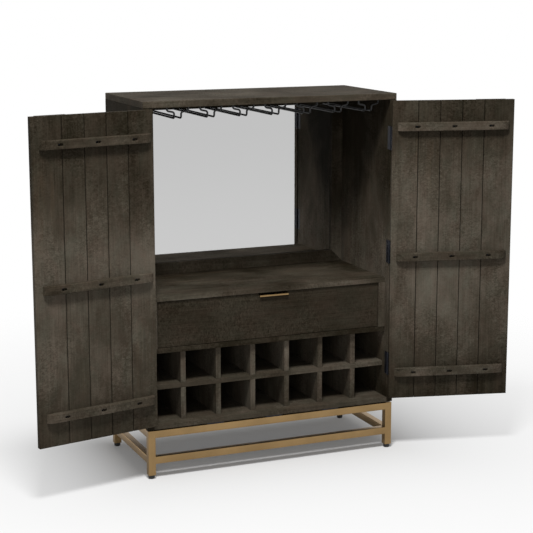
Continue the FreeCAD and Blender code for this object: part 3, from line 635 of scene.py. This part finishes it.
def screw_head(centre, face, radius, height, count=40):
    """A screw's low dome with a cross sunk into it.

    On a polar grid the height falls with the square of the radius, and drops by the cross's depth where
    the point is near either of two crossed bars. The last circle goes straight down as the head's wall.
    """
    share = np.concatenate([np.linspace(0.0, 0.98, 16), [1.0, 1.0]])
    angle = ring(count)
    across = share[:, None] * np.cos(angle)
    along = share[:, None] * np.sin(angle)
    narrow = np.minimum(np.abs(across), np.abs(along))
    wide = np.maximum(np.abs(across), np.abs(along))
    cross = np.clip((CROSS_WIDTH - narrow) / CROSS_FLANK, 0.0, 1.0)
    cross = cross * np.clip((CROSS_LENGTH - wide) / CROSS_END, 0.0, 1.0)
    rise = height * (1.0 - HEAD_FALL * share[:, None] ** 2) - cross * height * CROSS_DEPTH
    rise[-1] = -height
    face = np.asarray(face, float)
    flat = across[..., None] * np.cross(UPRIGHT, face) + along[..., None] * UPRIGHT
    return centre + radius * flat + rise[..., None] * face


def batten_grids(low, high, fittings):
    """A batten in the shut door's frame: a rounded strip with curved noses and long slots.

    Along the batten the thickness rises from the end's to the full one as the sine of an angle whose
    cosine gives the advance. A section of two walls, the back and two quarter circles is carried along
    that line, and the face between the quarter circles is a grid with a window for each slot. In a window
    the rectangle's edge is drawn in to the slot's outline, which is a fixed distance from the slot's
    middle line, then down the wall and in over the floor.
    """
    length, thick, width = high - low
    edge = fittings.batten_edge
    flat = width / 2 - edge
    angle = np.linspace(0.0, np.pi / 2, 12)
    nose_run = fittings.nose * (1.0 - np.cos(angle))
    nose_rise = fittings.nose_end + (thick - fittings.nose_end) * np.sin(angle)
    half_window = fittings.slot_length / 2 + SLOT_MARGIN
    window = np.linspace(-half_window, half_window, 13)
    middles = np.array(SLOT_SHARES) * length
    runs = [nose_run] + [middle + window for middle in middles] + [length - nose_run[::-1]]
    rises = [nose_rise] + [np.full(len(window), thick)] * len(middles) + [nose_rise[::-1]]
    run, rise = np.concatenate(runs), np.concatenate(rises)

    quarter = np.linspace(np.pi / 2, 0.0, 5)
    round_out = flat + edge * np.cos(quarter)
    round_up = -edge + edge * np.sin(quarter)
    out = np.concatenate([round_out, [width / 2, -width / 2], -round_out[::-1]])
    tall = np.concatenate([np.ones_like(quarter), [0.0, 0.0], np.ones_like(quarter)])
    drop = np.concatenate([round_up, [0.0, 0.0], round_up[::-1]])
    grids = [(strip_grid(run, rise[:, None] * tall + drop, out), False)]

    lines = np.linspace(-flat, flat, 9)
    first = 0
    for window_start in np.cumsum([len(part) for part in runs])[:-1]:
        rows = slice(first, window_start + 1)
        grids.append((strip_grid(run[rows], rise[rows, None], lines), False))
        first = window_start + len(window) - 1
    grids.append((strip_grid(run[first:], rise[first:, None], lines), False))
    for middle in middles:
        grids.append((slot_grid(middle, window, lines, thick, fittings), True))
    shift = np.array([low[0], low[1], (low[2] + high[2]) / 2])
    return [(grid + shift, closed) for grid, closed in grids]


def strip_grid(run, rise, out):
    """A strip of a batten's skin: each place along it has its heights and the same places across."""
    grid = np.zeros((len(run), len(out), 3))
    grid[..., 0] = run[:, None]
    grid[..., 1] = rise
    grid[..., 2] = out
    return grid


def slot_grid(middle, window, lines, thick, fittings):
    """A slot in its window, from the window's edge to the slot's rim, wall and floor."""
    radius, depth = fittings.slot_width / 2, fittings.slot_depth
    straight = fittings.slot_length / 2 - radius
    low, high = lines[0], lines[-1]
    around = np.concatenate([
        np.stack([window[:-1], np.full(len(window) - 1, low)], axis=1),
        np.stack([np.full(len(lines) - 1, window[-1]), lines[:-1]], axis=1),
        np.stack([window[:0:-1], np.full(len(window) - 1, high)], axis=1),
        np.stack([np.full(len(lines) - 1, window[0]), lines[:0:-1]], axis=1)])
    spine = np.zeros_like(around)
    spine[:, 0] = around[:, 0] * straight / window[-1]
    outward = around - spine
    outward /= np.linalg.norm(outward, axis=1, keepdims=True)
    reach = np.array([radius + SLOT_RIM, radius + SLOT_RIM * 0.3, radius, radius, radius * 0.5, 0.0])
    sink = np.array([0.0, SLOT_RIM * 0.3, SLOT_RIM, depth, depth, depth])
    grid = np.zeros((len(reach) + 1, len(around), 3))
    grid[0, :, 0], grid[0, :, 1], grid[0, :, 2] = around[:, 0] + middle, thick, around[:, 1]
    grid[1:, :, 0] = spine[:, 0] + reach[:, None] * outward[:, 0] + middle
    grid[1:, :, 1] = thick - sink[:, None]
    grid[1:, :, 2] = reach[:, None] * outward[:, 1]
    return grid


# Operators

class CABINET_OT_case(bpy.types.Operator):
    """Softens the boards of the case, its shelves, dividers and mirror frame, in dark wood"""

    bl_idname = "cabinet.case"
    bl_label = "Case boards"

    def execute(self, context):
        scene = context.scene
        # Painted light: the bottle cells' wood is paled to lift the shade inside the deep cells
        cell = {"key": "_cell", "tone": 0.12}
        side = {"key": "_side", "tone": -0.24, "lift": (0.62, 0.15, 0.50, 0.60, 1.06)}
        # Painted light and shade: the lift pales the top panel's front edge and ends and darkens its lit
        # top face
        top = {"key": "_top", "tone": -0.12, "lift": (0.12, 1.20, 1.21, 1.2672, 1.2679)}
        # Painted light and shade: the lift pales the counter's front edge and darkens its lit top face
        counter = {"key": "_counter", "tone": -0.14, "lift": (0.16, 0.55, 0.56, 0.6187, 0.6194)}
        boards = {
            "top_panel": (ACROSS, top), "bottom_panel": (ACROSS, {}), "counter_shelf": (ACROSS, counter),
            # Painted shade: the drawer shelf's wood is darkened against the key lamp's light from above
            "drawer_shelf": (ACROSS, {"key": "_shelf", "tone": -0.34}), "bottle_shelf": (ACROSS, cell),
            # Painted shade: the left side panel takes a darker copy of the side wood where the key lamp
            # lights its outer face
            "left_side_panel": (UP, {**side, "key": "_left_side", "tone": -0.38}),
            "right_side_panel": (UP, side), "back_panel": (UP, {}),
            # Painted shade: the mirror frame's bottom rail is darkened as at the counter's shaded back, its
            # top rail as under the top panel
            "mirror_frame_bottom_rail": (ACROSS, {"key": "_rail", "tone": -0.12}),
            "mirror_frame_top_rail": (ACROSS, {"key": "_shade", "tone": -0.25}),
            "mirror_frame_left_stile": (UP, side), "mirror_frame_right_stile": (UP, side)}
        boards.update({f"bottle_divider_{number}": (UP, cell) for number in range(1, 7)})
        for node, (grain, look) in boards.items():
            material = case_wood(scene, grain, **look)
            softened(node, "cabinet", material, scene.cabinet_wood.edge)
        return {"FINISHED"}


class CABINET_OT_mirror(bpy.types.Operator):
    """Silvers the mirror and finishes its backing board"""

    bl_idname = "cabinet.mirror"
    bl_label = "Mirror"

    def execute(self, context):
        silver = context.scene.cabinet_metal.silver
        finished("mirror_glass", material_of("mirror_silver", mirror_silver, silver))
        finished("mirror_backing", material_of("brown_hardboard", brown_board))
        return {"FINISHED"}


class CABINET_OT_racks(bpy.types.Operator):
    """Draws the stemware racks as round black wire with smooth bends"""

    bl_idname = "cabinet.racks"
    bl_label = "Stemware racks"

    def execute(self, context):
        scene = context.scene
        black = scene.cabinet_metal.black
        coat = material_of("black_coated_wire", black_metal, black, roughness=0.42, metallic=0.0)
        for number in range(1, 8):
            node = f"stemware_rack_{number}"
            grids = rack_grids(*box_of(node), scene.cabinet_fittings)
            made(f"{node}_wire", grids, "cabinet", "black_wire", coat, node)
        return {"FINISHED"}


def rack_grids(low, high, fittings):
    """Two wires and two straight rear legs, each a circle carried along its own line.

    A wire's line runs along the rail to the front, up round a quarter circle, and on as the leg's line.
    """
    wire, turn = fittings.wire, fittings.rail_bend
    middle, far = (low[0] + high[0]) / 2, (high[0] - low[0]) / 2 - wire
    front, back, rail = low[1] + wire, high[1] - wire, low[2] + wire
    near = fittings.rail_gap / 2
    quarter = arc((front + turn, rail + turn), turn, 270.0, 180.0, 9)
    leg = leg_line(near, far, rail + fittings.shoulder, high[2], fittings)
    bent = len(quarter) + 1
    grids = []
    for side in SIDES.values():
        line = np.zeros((bent + len(leg), 3))
        line[0, 1:] = back, rail
        line[1:bent, 1:] = quarter
        line[:bent, 0] = near
        line[bent:, 1] = front
        line[bent:, (0, 2)] = leg
        line[:, 0] = middle + side * line[:, 0]
        grids.append((wire_round(line, wire, True), True))
        rear = [(middle + side * near, back, rail), (middle + side * near, back, high[2])]
        grids.append((wire_round(rear, wire, False), True))
    return grids


def leg_line(near, far, shoulder, top, fittings):
    """A leg's line, across and up: round an arc onto the sloping shoulder, round another arc and up."""
    bend, slope = fittings.bend, fittings.slope
    run = far - near - 2.0 * bend * (1.0 - math.sin(slope))
    rise = run * math.tan(slope) / 2 + bend * math.cos(slope)
    tilt = math.degrees(slope)
    first = arc((near + bend, shoulder - rise), bend, 180.0, 90.0 + tilt, 9)
    second = arc((far - bend, shoulder + rise), bend, tilt - 90.0, 0.0, 9)
    return np.concatenate([first, second, [(far, top)]])


class CABINET_OT_drawer(bpy.types.Operator):
    """Softens the drawer's boards and finishes its wood and its runners"""

    bl_idname = "cabinet.drawer"
    bl_label = "Drawer"

    def execute(self, context):
        scene = context.scene
        edge = scene.cabinet_wood.edge
        grains = {"front": ACROSS, "left_side": DEEP, "right_side": DEEP, "back": ACROSS, "bottom": ACROSS}
        for board, grain in grains.items():
            softened(f"drawer_{board}", "drawer", drawer_wood(scene, grain), edge)
        packer = case_wood(scene, UP, key="_packer", tone=0.16)
        softened("drawer_runner_packers", "cabinet", packer, edge)
        for part in ("case", "box"):
            finished(f"drawer_{part}_runners", material_of("runner_zinc", runner_zinc))
        return {"FINISHED"}


class CABINET_OT_pull(bpy.types.Operator):
    """Folds the drawer's brass pull from one sheet: lip, top plate and tail"""

    bl_idname = "cabinet.pull"
    bl_label = "Drawer pull"

    def execute(self, context):
        metal = context.scene.cabinet_metal
        low, high = box_of("drawer_pull")
        outline = sheet_outline(pull_line(low, high, metal.lip, metal.sheet), metal.sheet)
        grid = np.zeros((2, len(outline), 3))
        grid[:, :, 1:] = outline
        grid[0, :, 0], grid[1, :, 0] = low[0], high[0]
        coat = brushed_brass(context.scene)
        piece = made("drawer_pull_sheet", [(grid, True)], "drawer", "satin_brass", coat, "drawer_pull")
        rounded(piece, PULL_EDGE, ROUND_ANGLE)
        return {"FINISHED"}


def pull_line(low, high, lip, sheet):
    """The sheet's middle line, back and up: up the lip, round a bend, along the plate, round and down."""
    half, bend = sheet / 2, sheet * PULL_BEND
    front, back, top = low[1] + half, high[1] - half, high[2] - half
    return np.concatenate([
        [(front, top + half - lip)],
        arc((front + bend, top - bend), bend, 180.0, 90.0),
        arc((back - bend, top - bend), bend, 90.0, 0.0),
        [(back, low[2])]])


def sheet_outline(line, sheet):
    """The closed outline of a bent sheet: the line set off by half the thickness to both sides."""
    ahead = np.gradient(line, axis=0)
    ahead /= np.linalg.norm(ahead, axis=1, keepdims=True)
    beside = np.stack([-ahead[:, 1], ahead[:, 0]], axis=1) * sheet / 2
    return np.concatenate([line + beside, (line - beside)[::-1]])


class CABINET_OT_doors(bpy.types.Operator):
    """Makes the doors' boards, each with its own tone, and softens the pull boards on their faces"""

    bl_idname = "cabinet.doors"
    bl_label = "Door boards"

    def execute(self, context):
        scene = context.scene
        edge = scene.cabinet_wood.edge
        fittings = scene.cabinet_fittings
        for side in SIDES:
            door, node = f"{side}_door", f"{side}_door_boards"
            turn = -door_frame(side)[1]
            look = {"lift": DOOR_LIFTS[side], "tone": DOOR_TONES[side], "calm": 0.8}
            boards = case_wood(scene, UP, turn, f"_{door}", joints=groove_places(side), **look)
            plain = case_wood(scene, UP, turn, f"_{side}_pull_board", **look)
            grids = board_grids(side, fittings.groove, fittings.joint_gap)
            piece = made(f"{node}_finished", grids, door, "dark_wood", boards, node)
            toned(piece, own_tone(node) + BOARD_TONE_STEP * board_numbers(piece, side))
            rounded(piece, edge, SOFT_ANGLE)
            softened(f"{door}_pull_board", door, plain, edge)
        return {"FINISHED"}


def groove_places(side):
    """The first groove, the pitch to the next ones and their count, in the material's turned frame."""
    pin, turn = door_frame(side)
    joints = turned(pin, -turn)[0] - SIDES[side] * board_edges(side)[1:-1]
    return float(joints[0]), float(joints[1] - joints[0]), len(joints)


def board_edges(side):
    """Distances of the boards' edges from the pin's axis, across the shut door."""
    across = np.abs(shut(f"{side}_door_boards", side)[:, 0])
    return across.min() + np.concatenate([[0.0], np.cumsum(BOARD_SHARES)]) * np.ptp(across)


def board_grids(side, groove, gap):
    """The boards of a door, each a section in the shut door's plan that is carried up.

    A section is a rectangle whose edges at a joint are bevelled alike on both faces. In the first board's
    edge each end of a hinge leaf's bed is a height that is written twice: once with the edge as it is, and
    once with the edge stepped back.
    """
    points = shut(f"{side}_door_boards", side)
    edges = board_edges(side)
    close = np.round(np.abs(points[np.abs(points[:, 0]) < edges[0] + HINGE_EDGE_BAND]), 5)
    (_, bed), (front, bed_end, back), heights = (np.unique(close[:, axis]) for axis in range(3))
    levels = np.repeat(heights, 2)[1:-1]
    sunk = np.tile((0.0, 0.0, 1.0, 1.0), len(heights))[:len(levels), None]
    grids = []
    for start, end in zip(edges[:-1] + gap, edges[1:] - gap):
        first, last = not grids, len(grids) == len(edges) - 2
        near = [(start + groove, back), (start, back - groove), (start, front + groove),
                (start + groove, front)]
        far = [(end - groove, front), (end, front + groove), (end, back - groove), (end - groove, back)]
        if first:
            near = [(start, back), (start, bed_end), (start, bed_end), (start, front)]
        if last:
            far = [(end, front), (end, back)]
        rise = levels if first else heights[[0, -1]]
        grid = np.zeros((len(rise), len(near + far), 3))
        grid[..., :2] = near + far
        grid[..., 2] = rise[:, None]
        if first:
            grid[:, 2:4, 0] += sunk * (bed - edges[0])
        grid[..., 0] *= -SIDES[side]
        grids.append((hung(grid, side), True))
    return grids


def board_numbers(piece, side):
    """The board that each face of a door belongs to, by where its middle lies across the shut door."""
    pin, turn = door_frame(side)
    middles = np.zeros(len(piece.data.polygons) * 3)
    piece.data.polygons.foreach_get("center", middles)
    across = np.abs(turned(middles.reshape(-1, 3) - pin, -turn)[:, 0])
    return np.searchsorted(board_edges(side)[1:-1], across)


class CABINET_OT_battens(bpy.types.Operator):
    """Makes the doors' battens with curved noses and long slots, and the screws in the slots"""

    bl_idname = "cabinet.battens"
    bl_label = "Door battens"

    def execute(self, context):
        scene = context.scene
        fittings = scene.cabinet_fittings
        for side in SIDES:
            door = f"{side}_door"
            material = case_wood(scene, ACROSS, -door_frame(side)[1], f"_{side}_batten")
            heads = []
            for place in ("top", "middle", "bottom"):
                node = f"{door}_{place}_batten"
                points = shut(node, side)
                low, high = points.min(axis=0), points.max(axis=0)
                grids = batten_grids(low, high, fittings)
                grids = [(hung(grid, side), closed) for grid, closed in grids]
                piece = made(f"{node}_wood", grids, door, "dark_wood", material, node)
                toned(piece, own_tone(node))
                heads += slot_screws(low, high, side, fittings)
            made(f"{door}_batten_screws", heads, door, "hinge_steel", blackened_steel(scene))
        return {"FINISHED"}


def slot_screws(low, high, side, fittings):
    """A screw's head on the floor of every slot, carried to the open door."""
    face = turned(np.array([0.0, 1.0, 0.0]), door_frame(side)[1])
    floor = high[1] - fittings.slot_depth + SCREW_SEAT * SLOT_SCREW_DOME
    heads = []
    for share in SLOT_SHARES:
        spot = np.array([low[0] + share * (high[0] - low[0]), floor, (low[2] + high[2]) / 2])
        heads.append((screw_head(hung(spot, side), face, fittings.screw, SLOT_SCREW_DOME), True))
    return heads


class CABINET_OT_hinges(bpy.types.Operator):
    """Blackens the hinges and adds their screws and the button ends of their pins"""

    bl_idname = "cabinet.hinges"
    bl_label = "Hinges"

    def execute(self, context):
        scene = context.scene
        steel = blackened_steel(scene)
        radius = scene.cabinet_fittings.screw
        heights, length = hinge_heights()
        depth = box_of("case_hinge_leaves")[1][1] - CASE_SCREW_INSET
        inner = -box_of("left_side_panel")[1][0]
        buttons, case_screws = [], []
        for side, sign in SIDES.items():
            pin, turn = door_frame(side)
            door_depth = shut(f"{side}_door_hinge_leaves", side)[:, 1].max() - DOOR_SCREW_INSET
            door_face = turned(np.array([float(sign), 0.0, 0.0]), turn)
            door_screws = []
            for height in heights:
                for end in (-1, 1):
                    buttons.append((pin_button(pin + UPRIGHT * (height + end * length / 2), end), True))
                for number, rise in enumerate(SCREW_RISES):
                    stagger = SCREW_STAGGER * (-1) ** number
                    spot = np.array([sign * inner, depth + stagger, height + rise])
                    head = screw_head(spot, (-sign, 0, 0), radius, HINGE_SCREW_DOME)
                    case_screws.append((head, True))
                    door_stagger = stagger * DOOR_STAGGER
                    spot = np.array([-sign * LEAF_FACE, door_depth - door_stagger, height + rise])
                    head = screw_head(hung(spot, side), door_face, radius, HINGE_SCREW_DOME)
                    door_screws.append((head, True))
            made(f"{side}_door_hinge_screws", door_screws, f"{side}_door", "hinge_steel", steel)
            finished(f"{side}_door_hinge_leaves", steel)
        made("case_hinge_screws", case_screws, "cabinet", "hinge_steel", steel)
        made("hinge_pin_buttons", buttons, "cabinet", "hinge_steel", steel)
        finished("case_hinge_leaves", steel)
        finished("hinge_pins", steel)
        return {"FINISHED"}


def hinge_heights():
    """Middle heights of a door's hinges and their length, from the gaps between the pins' ends."""
    levels = np.unique(np.round(vertices(frame["nodes"]["hinge_pins"].data)[:, 2], 4))
    groups = np.split(levels, np.where(np.diff(levels) > PIN_GAP)[0] + 1)
    return [(group[0] + group[-1]) / 2 for group in groups], groups[0][-1] - groups[0][0]


def pin_button(centre, end):
    """A pin's button end: a quarter of an ellipse turned round the pin's axis."""
    angle = np.linspace(0.0, np.pi / 2, 6)
    profile = np.stack([BUTTON_RADIUS * np.cos(angle), end * BUTTON_RISE * np.sin(angle)], axis=1)
    return turned_round(np.concatenate([[(0.0, 0.0)], profile]), centre, 20)


class CABINET_OT_base(bpy.types.Operator):
    """Makes the brass base from square tube with rounded corners, welded flush"""

    bl_idname = "cabinet.base"
    bl_label = "Base"

    def execute(self, context):
        scene = context.scene
        corner = scene.cabinet_metal.tube_corner
        low, high = box_of("base_legs")
        tube = np.subtract(*box_of("base_lower_rails")[::-1])[UP]
        sides, depths = (low[0], high[0] - tube), (low[1], high[1] - tube)
        start, end = low + tube - corner, high - tube + corner
        places = [(x, y) for x in sides for y in depths]
        bars = {"legs": [((x, y, low[2]), (x + tube, y + tube, high[2]), UP) for x, y in places]}
        for rails in ("top_rails", "lower_rails"):
            (_, _, foot), (_, _, head) = box_of(f"base_{rails}")
            bars[rails] = [((start[0], y, foot), (end[0], y + tube, head), ACROSS) for y in depths]
            bars[rails] += [((x, start[1], foot), (x + tube, end[1], head), DEEP) for x in sides]
        for part, ends in bars.items():
            grids = [(square_bar(*bar, corner), True) for bar in ends]
            node = f"base_{part}"
            made(f"{node}_tube", grids, "cabinet", "satin_brass", brushed_brass(scene), node)
        finished("base_mounting_plates", blackened_steel(scene))
        return {"FINISHED"}


class CABINET_OT_feet(bpy.types.Operator):
    """Turns the domed black glides and their threaded stems"""

    bl_idname = "cabinet.feet"
    bl_label = "Levelling feet"

    def execute(self, context):
        black = context.scene.cabinet_metal.black
        plastic = material_of("black_glide", black_metal, black, roughness=0.5, metallic=0.0)
        for corner in CORNERS:
            node = f"levelling_foot_{corner}"
            low, high = box_of(node)
            centre = np.array([(low[0] + high[0]) / 2, (low[1] + high[1]) / 2, low[2]])
            grids = [(glide(centre), True), (threaded_stem(centre, high[2] - low[2]), True)]
            made(f"{node}_glide", grids, f"foot_{corner}", "black_foot", plastic, node)
        return {"FINISHED"}


def glide(centre):
    """A foot's glide: a flat sole, a quarter ellipse to the full radius, an upright wall, a rounded top."""
    angle = np.linspace(0.0, np.pi / 2, 9)
    out = SOLE_RADIUS + (GLIDE_RADIUS - SOLE_RADIUS) * np.sin(angle)
    dome = np.stack([out, GLIDE_DOME * (1.0 - np.cos(angle))], axis=1)
    top = arc((GLIDE_RADIUS - GLIDE_ROUND, GLIDE_HEIGHT - GLIDE_ROUND), GLIDE_ROUND, 0.0, 90.0, 5)
    return turned_round(np.concatenate([[(0.0, 0.0)], dome, top, [(0.0, GLIDE_HEIGHT)]]), centre, 40)


def threaded_stem(centre, height):
    """A stem whose radius dips with the height's and the angle's share of one pitch: a wound thread."""
    rise = np.linspace(STEM_FOOT, height, 120)[:, None]
    angle = ring(24)
    phase = (rise / THREAD_PITCH - angle / (2.0 * np.pi)) % 1.0
    radius = STEM_RADIUS - THREAD_DEPTH * np.abs(2.0 * phase - 1.0)
    heights = np.broadcast_to(rise, radius.shape)
    return centre + np.stack([radius * np.cos(angle), radius * np.sin(angle), heights], axis=-1)


class CABINET_OT_stage(bpy.types.Operator):
    """Sets the pale floor, the soft lights, the white surroundings and the camera"""

    bl_idname = "cabinet.stage"
    bl_label = "Stage"

    def execute(self, context):
        scene = context.scene
        stage = scene.cabinet_stage
        scene.view_settings.view_transform = "Standard"
        lay_floor(scene, stage)
        surround(scene, stage)
        for name, spot in LAMPS.items():
            hang_lamp(scene, f"{name}_lamp", *spot, getattr(stage, name))
        lens = bpy.data.cameras.new("photo_camera")
        lens.sensor_width = SENSOR_WIDTH
        lens.lens = stage.lens
        camera = bpy.data.objects.new("photo_camera", lens)
        camera.location = stage.place
        camera.rotation_euler = stage.turn
        scene.collection.objects.link(camera)
        scene.camera = camera
        return {"FINISHED"}


def lay_floor(scene, stage):
    """A round floor: a radius carried round the origin."""
    radius = np.linspace(0.0, FLOOR_RADIUS, 25)
    grid = turned_round(np.stack([radius, np.zeros_like(radius)], axis=1), np.zeros(3), 64)
    mesh = bpy.data.meshes.new("floor")
    quads = grid_quads(*grid.shape[:2], closed=True)
    mesh.from_pydata(grid.reshape(-1, 3).tolist(), [], quads.tolist())
    mesh.materials.append(material_of("pale_floor", pale_floor, stage))
    floor = bpy.data.objects.new("floor", mesh)
    scene.collection.objects.link(floor)


def pale_floor(finish, stage):
    """A floor whose shading fades into the white surroundings with the distance from the cabinet.

    To the camera the floor is a mix of its true shading and of white. The white's share grows with the
    distance beside the base, as one less a falling exponential, so the shadow under the cabinet stays deep.
    """
    place = finish.place()
    away = finish.node("VectorMath", {"operation": "LENGTH"}, {0: place}, "Value")
    corner = box_of("base_legs")[1]
    outside = finish.node("VectorMath", {"operation": "ABSOLUTE"}, {0: place})
    outside = finish.vector("SUBTRACT", outside, (corner[0], corner[1], 0.0))
    outside = finish.vector("MAXIMUM", outside, (0.0, 0.0, 0.0))
    beside = finish.node("VectorMath", {"operation": "LENGTH"}, {0: outside}, "Value")
    held = finish.node("Math", {"operation": "EXPONENT"}, {0: beside * (-1.0 / stage.floor_soft)})
    ease = (1.0 - held * stage.floor_keep) * stage.floor_ease
    shader = finish.node("BsdfDiffuse", None, {"Color": (*stage.floor, 1.0)})
    glow = finish.node("Emission", None, {"Color": (*stage.floor_glow, 1.0), "Strength": 1.0})
    shader = finish.node("MixShader", None, {0: finish.seen() * ease, 1: shader, 2: glow})
    clear = finish.node("BsdfTransparent")
    faded = finish.span(away, FLOOR_FADE, stage.floor_reach)
    mixed = finish.node("MixShader", None, {0: faded, 1: shader, 2: clear})
    finish.node("OutputMaterial", None, {"Surface": mixed})


def surround(scene, stage):
    """Even room light; what the camera, a mirror or glass sees of it is plain white."""
    world = bpy.data.worlds.new("surround")
    world.use_nodes = True
    scene.world = world
    finish = Finish(world.node_tree)
    light, white = (
        finish.node("Background", None, {"Color": (1.0, 1.0, 1.0, 1.0), "Strength": strength})
        for strength in (stage.sky, 1.0))
    mixed = finish.node("MixShader", None, {0: finish.seen(), 1: light, 2: white})
    finish.node("OutputWorld", None, {"Surface": mixed})


def hang_lamp(scene, name, place, aim, size, power):
    """A rectangular soft lamp at a place, facing its aim."""
    lamp = bpy.data.lights.new(name, "AREA")
    lamp.shape = "RECTANGLE"
    lamp.size, lamp.size_y = size
    lamp.energy = power
    lamp_object = bpy.data.objects.new(name, lamp)
    lamp_object.location = place
    lamp_object.rotation_euler = (Vector(aim) - Vector(place)).to_track_quat("-Z", "Y").to_euler()
    lamp_object.visible_glossy = False
    scene.collection.objects.link(lamp_object)


class CABINET_PT_panel(bpy.types.Panel):
    """The cabinet's pieces and looks in the sidebar"""

    bl_idname = "CABINET_PT_panel"
    bl_label = "Bar cabinet"
    bl_space_type = "VIEW_3D"
    bl_region_type = "UI"
    bl_category = "Cabinet"

    def draw(self, context):
        for operator in OPERATORS:
            self.layout.operator(operator.bl_idname)
        for name, group in GROUPS.items():
            box = self.layout.box()
            for key in group.__annotations__:
                box.prop(getattr(context.scene, name), key)


GROUPS = {
    "cabinet_wood": CabinetWood, "cabinet_metal": CabinetMetal, "cabinet_fittings": CabinetFittings,
    "cabinet_stage": CabinetStage}
OPERATORS = (
    CABINET_OT_case, CABINET_OT_mirror, CABINET_OT_racks, CABINET_OT_drawer, CABINET_OT_pull,
    CABINET_OT_doors, CABINET_OT_battens, CABINET_OT_hinges, CABINET_OT_base, CABINET_OT_feet,
    CABINET_OT_stage)


def register():
    for kind in (*GROUPS.values(), *OPERATORS, CABINET_PT_panel):
        bpy.utils.register_class(kind)
    for name, group in GROUPS.items():
        setattr(bpy.types.Scene, name, bpy.props.PointerProperty(type=group))


def unregister():
    for name in GROUPS:
        delattr(bpy.types.Scene, name)
    for kind in reversed((*GROUPS.values(), *OPERATORS, CABINET_PT_panel)):
        bpy.utils.unregister_class(kind)


def main():
    register()
    for operator in OPERATORS:
        getattr(bpy.ops.cabinet, operator.bl_idname.split(".")[1])()


if __name__ == "__main__":
    main()
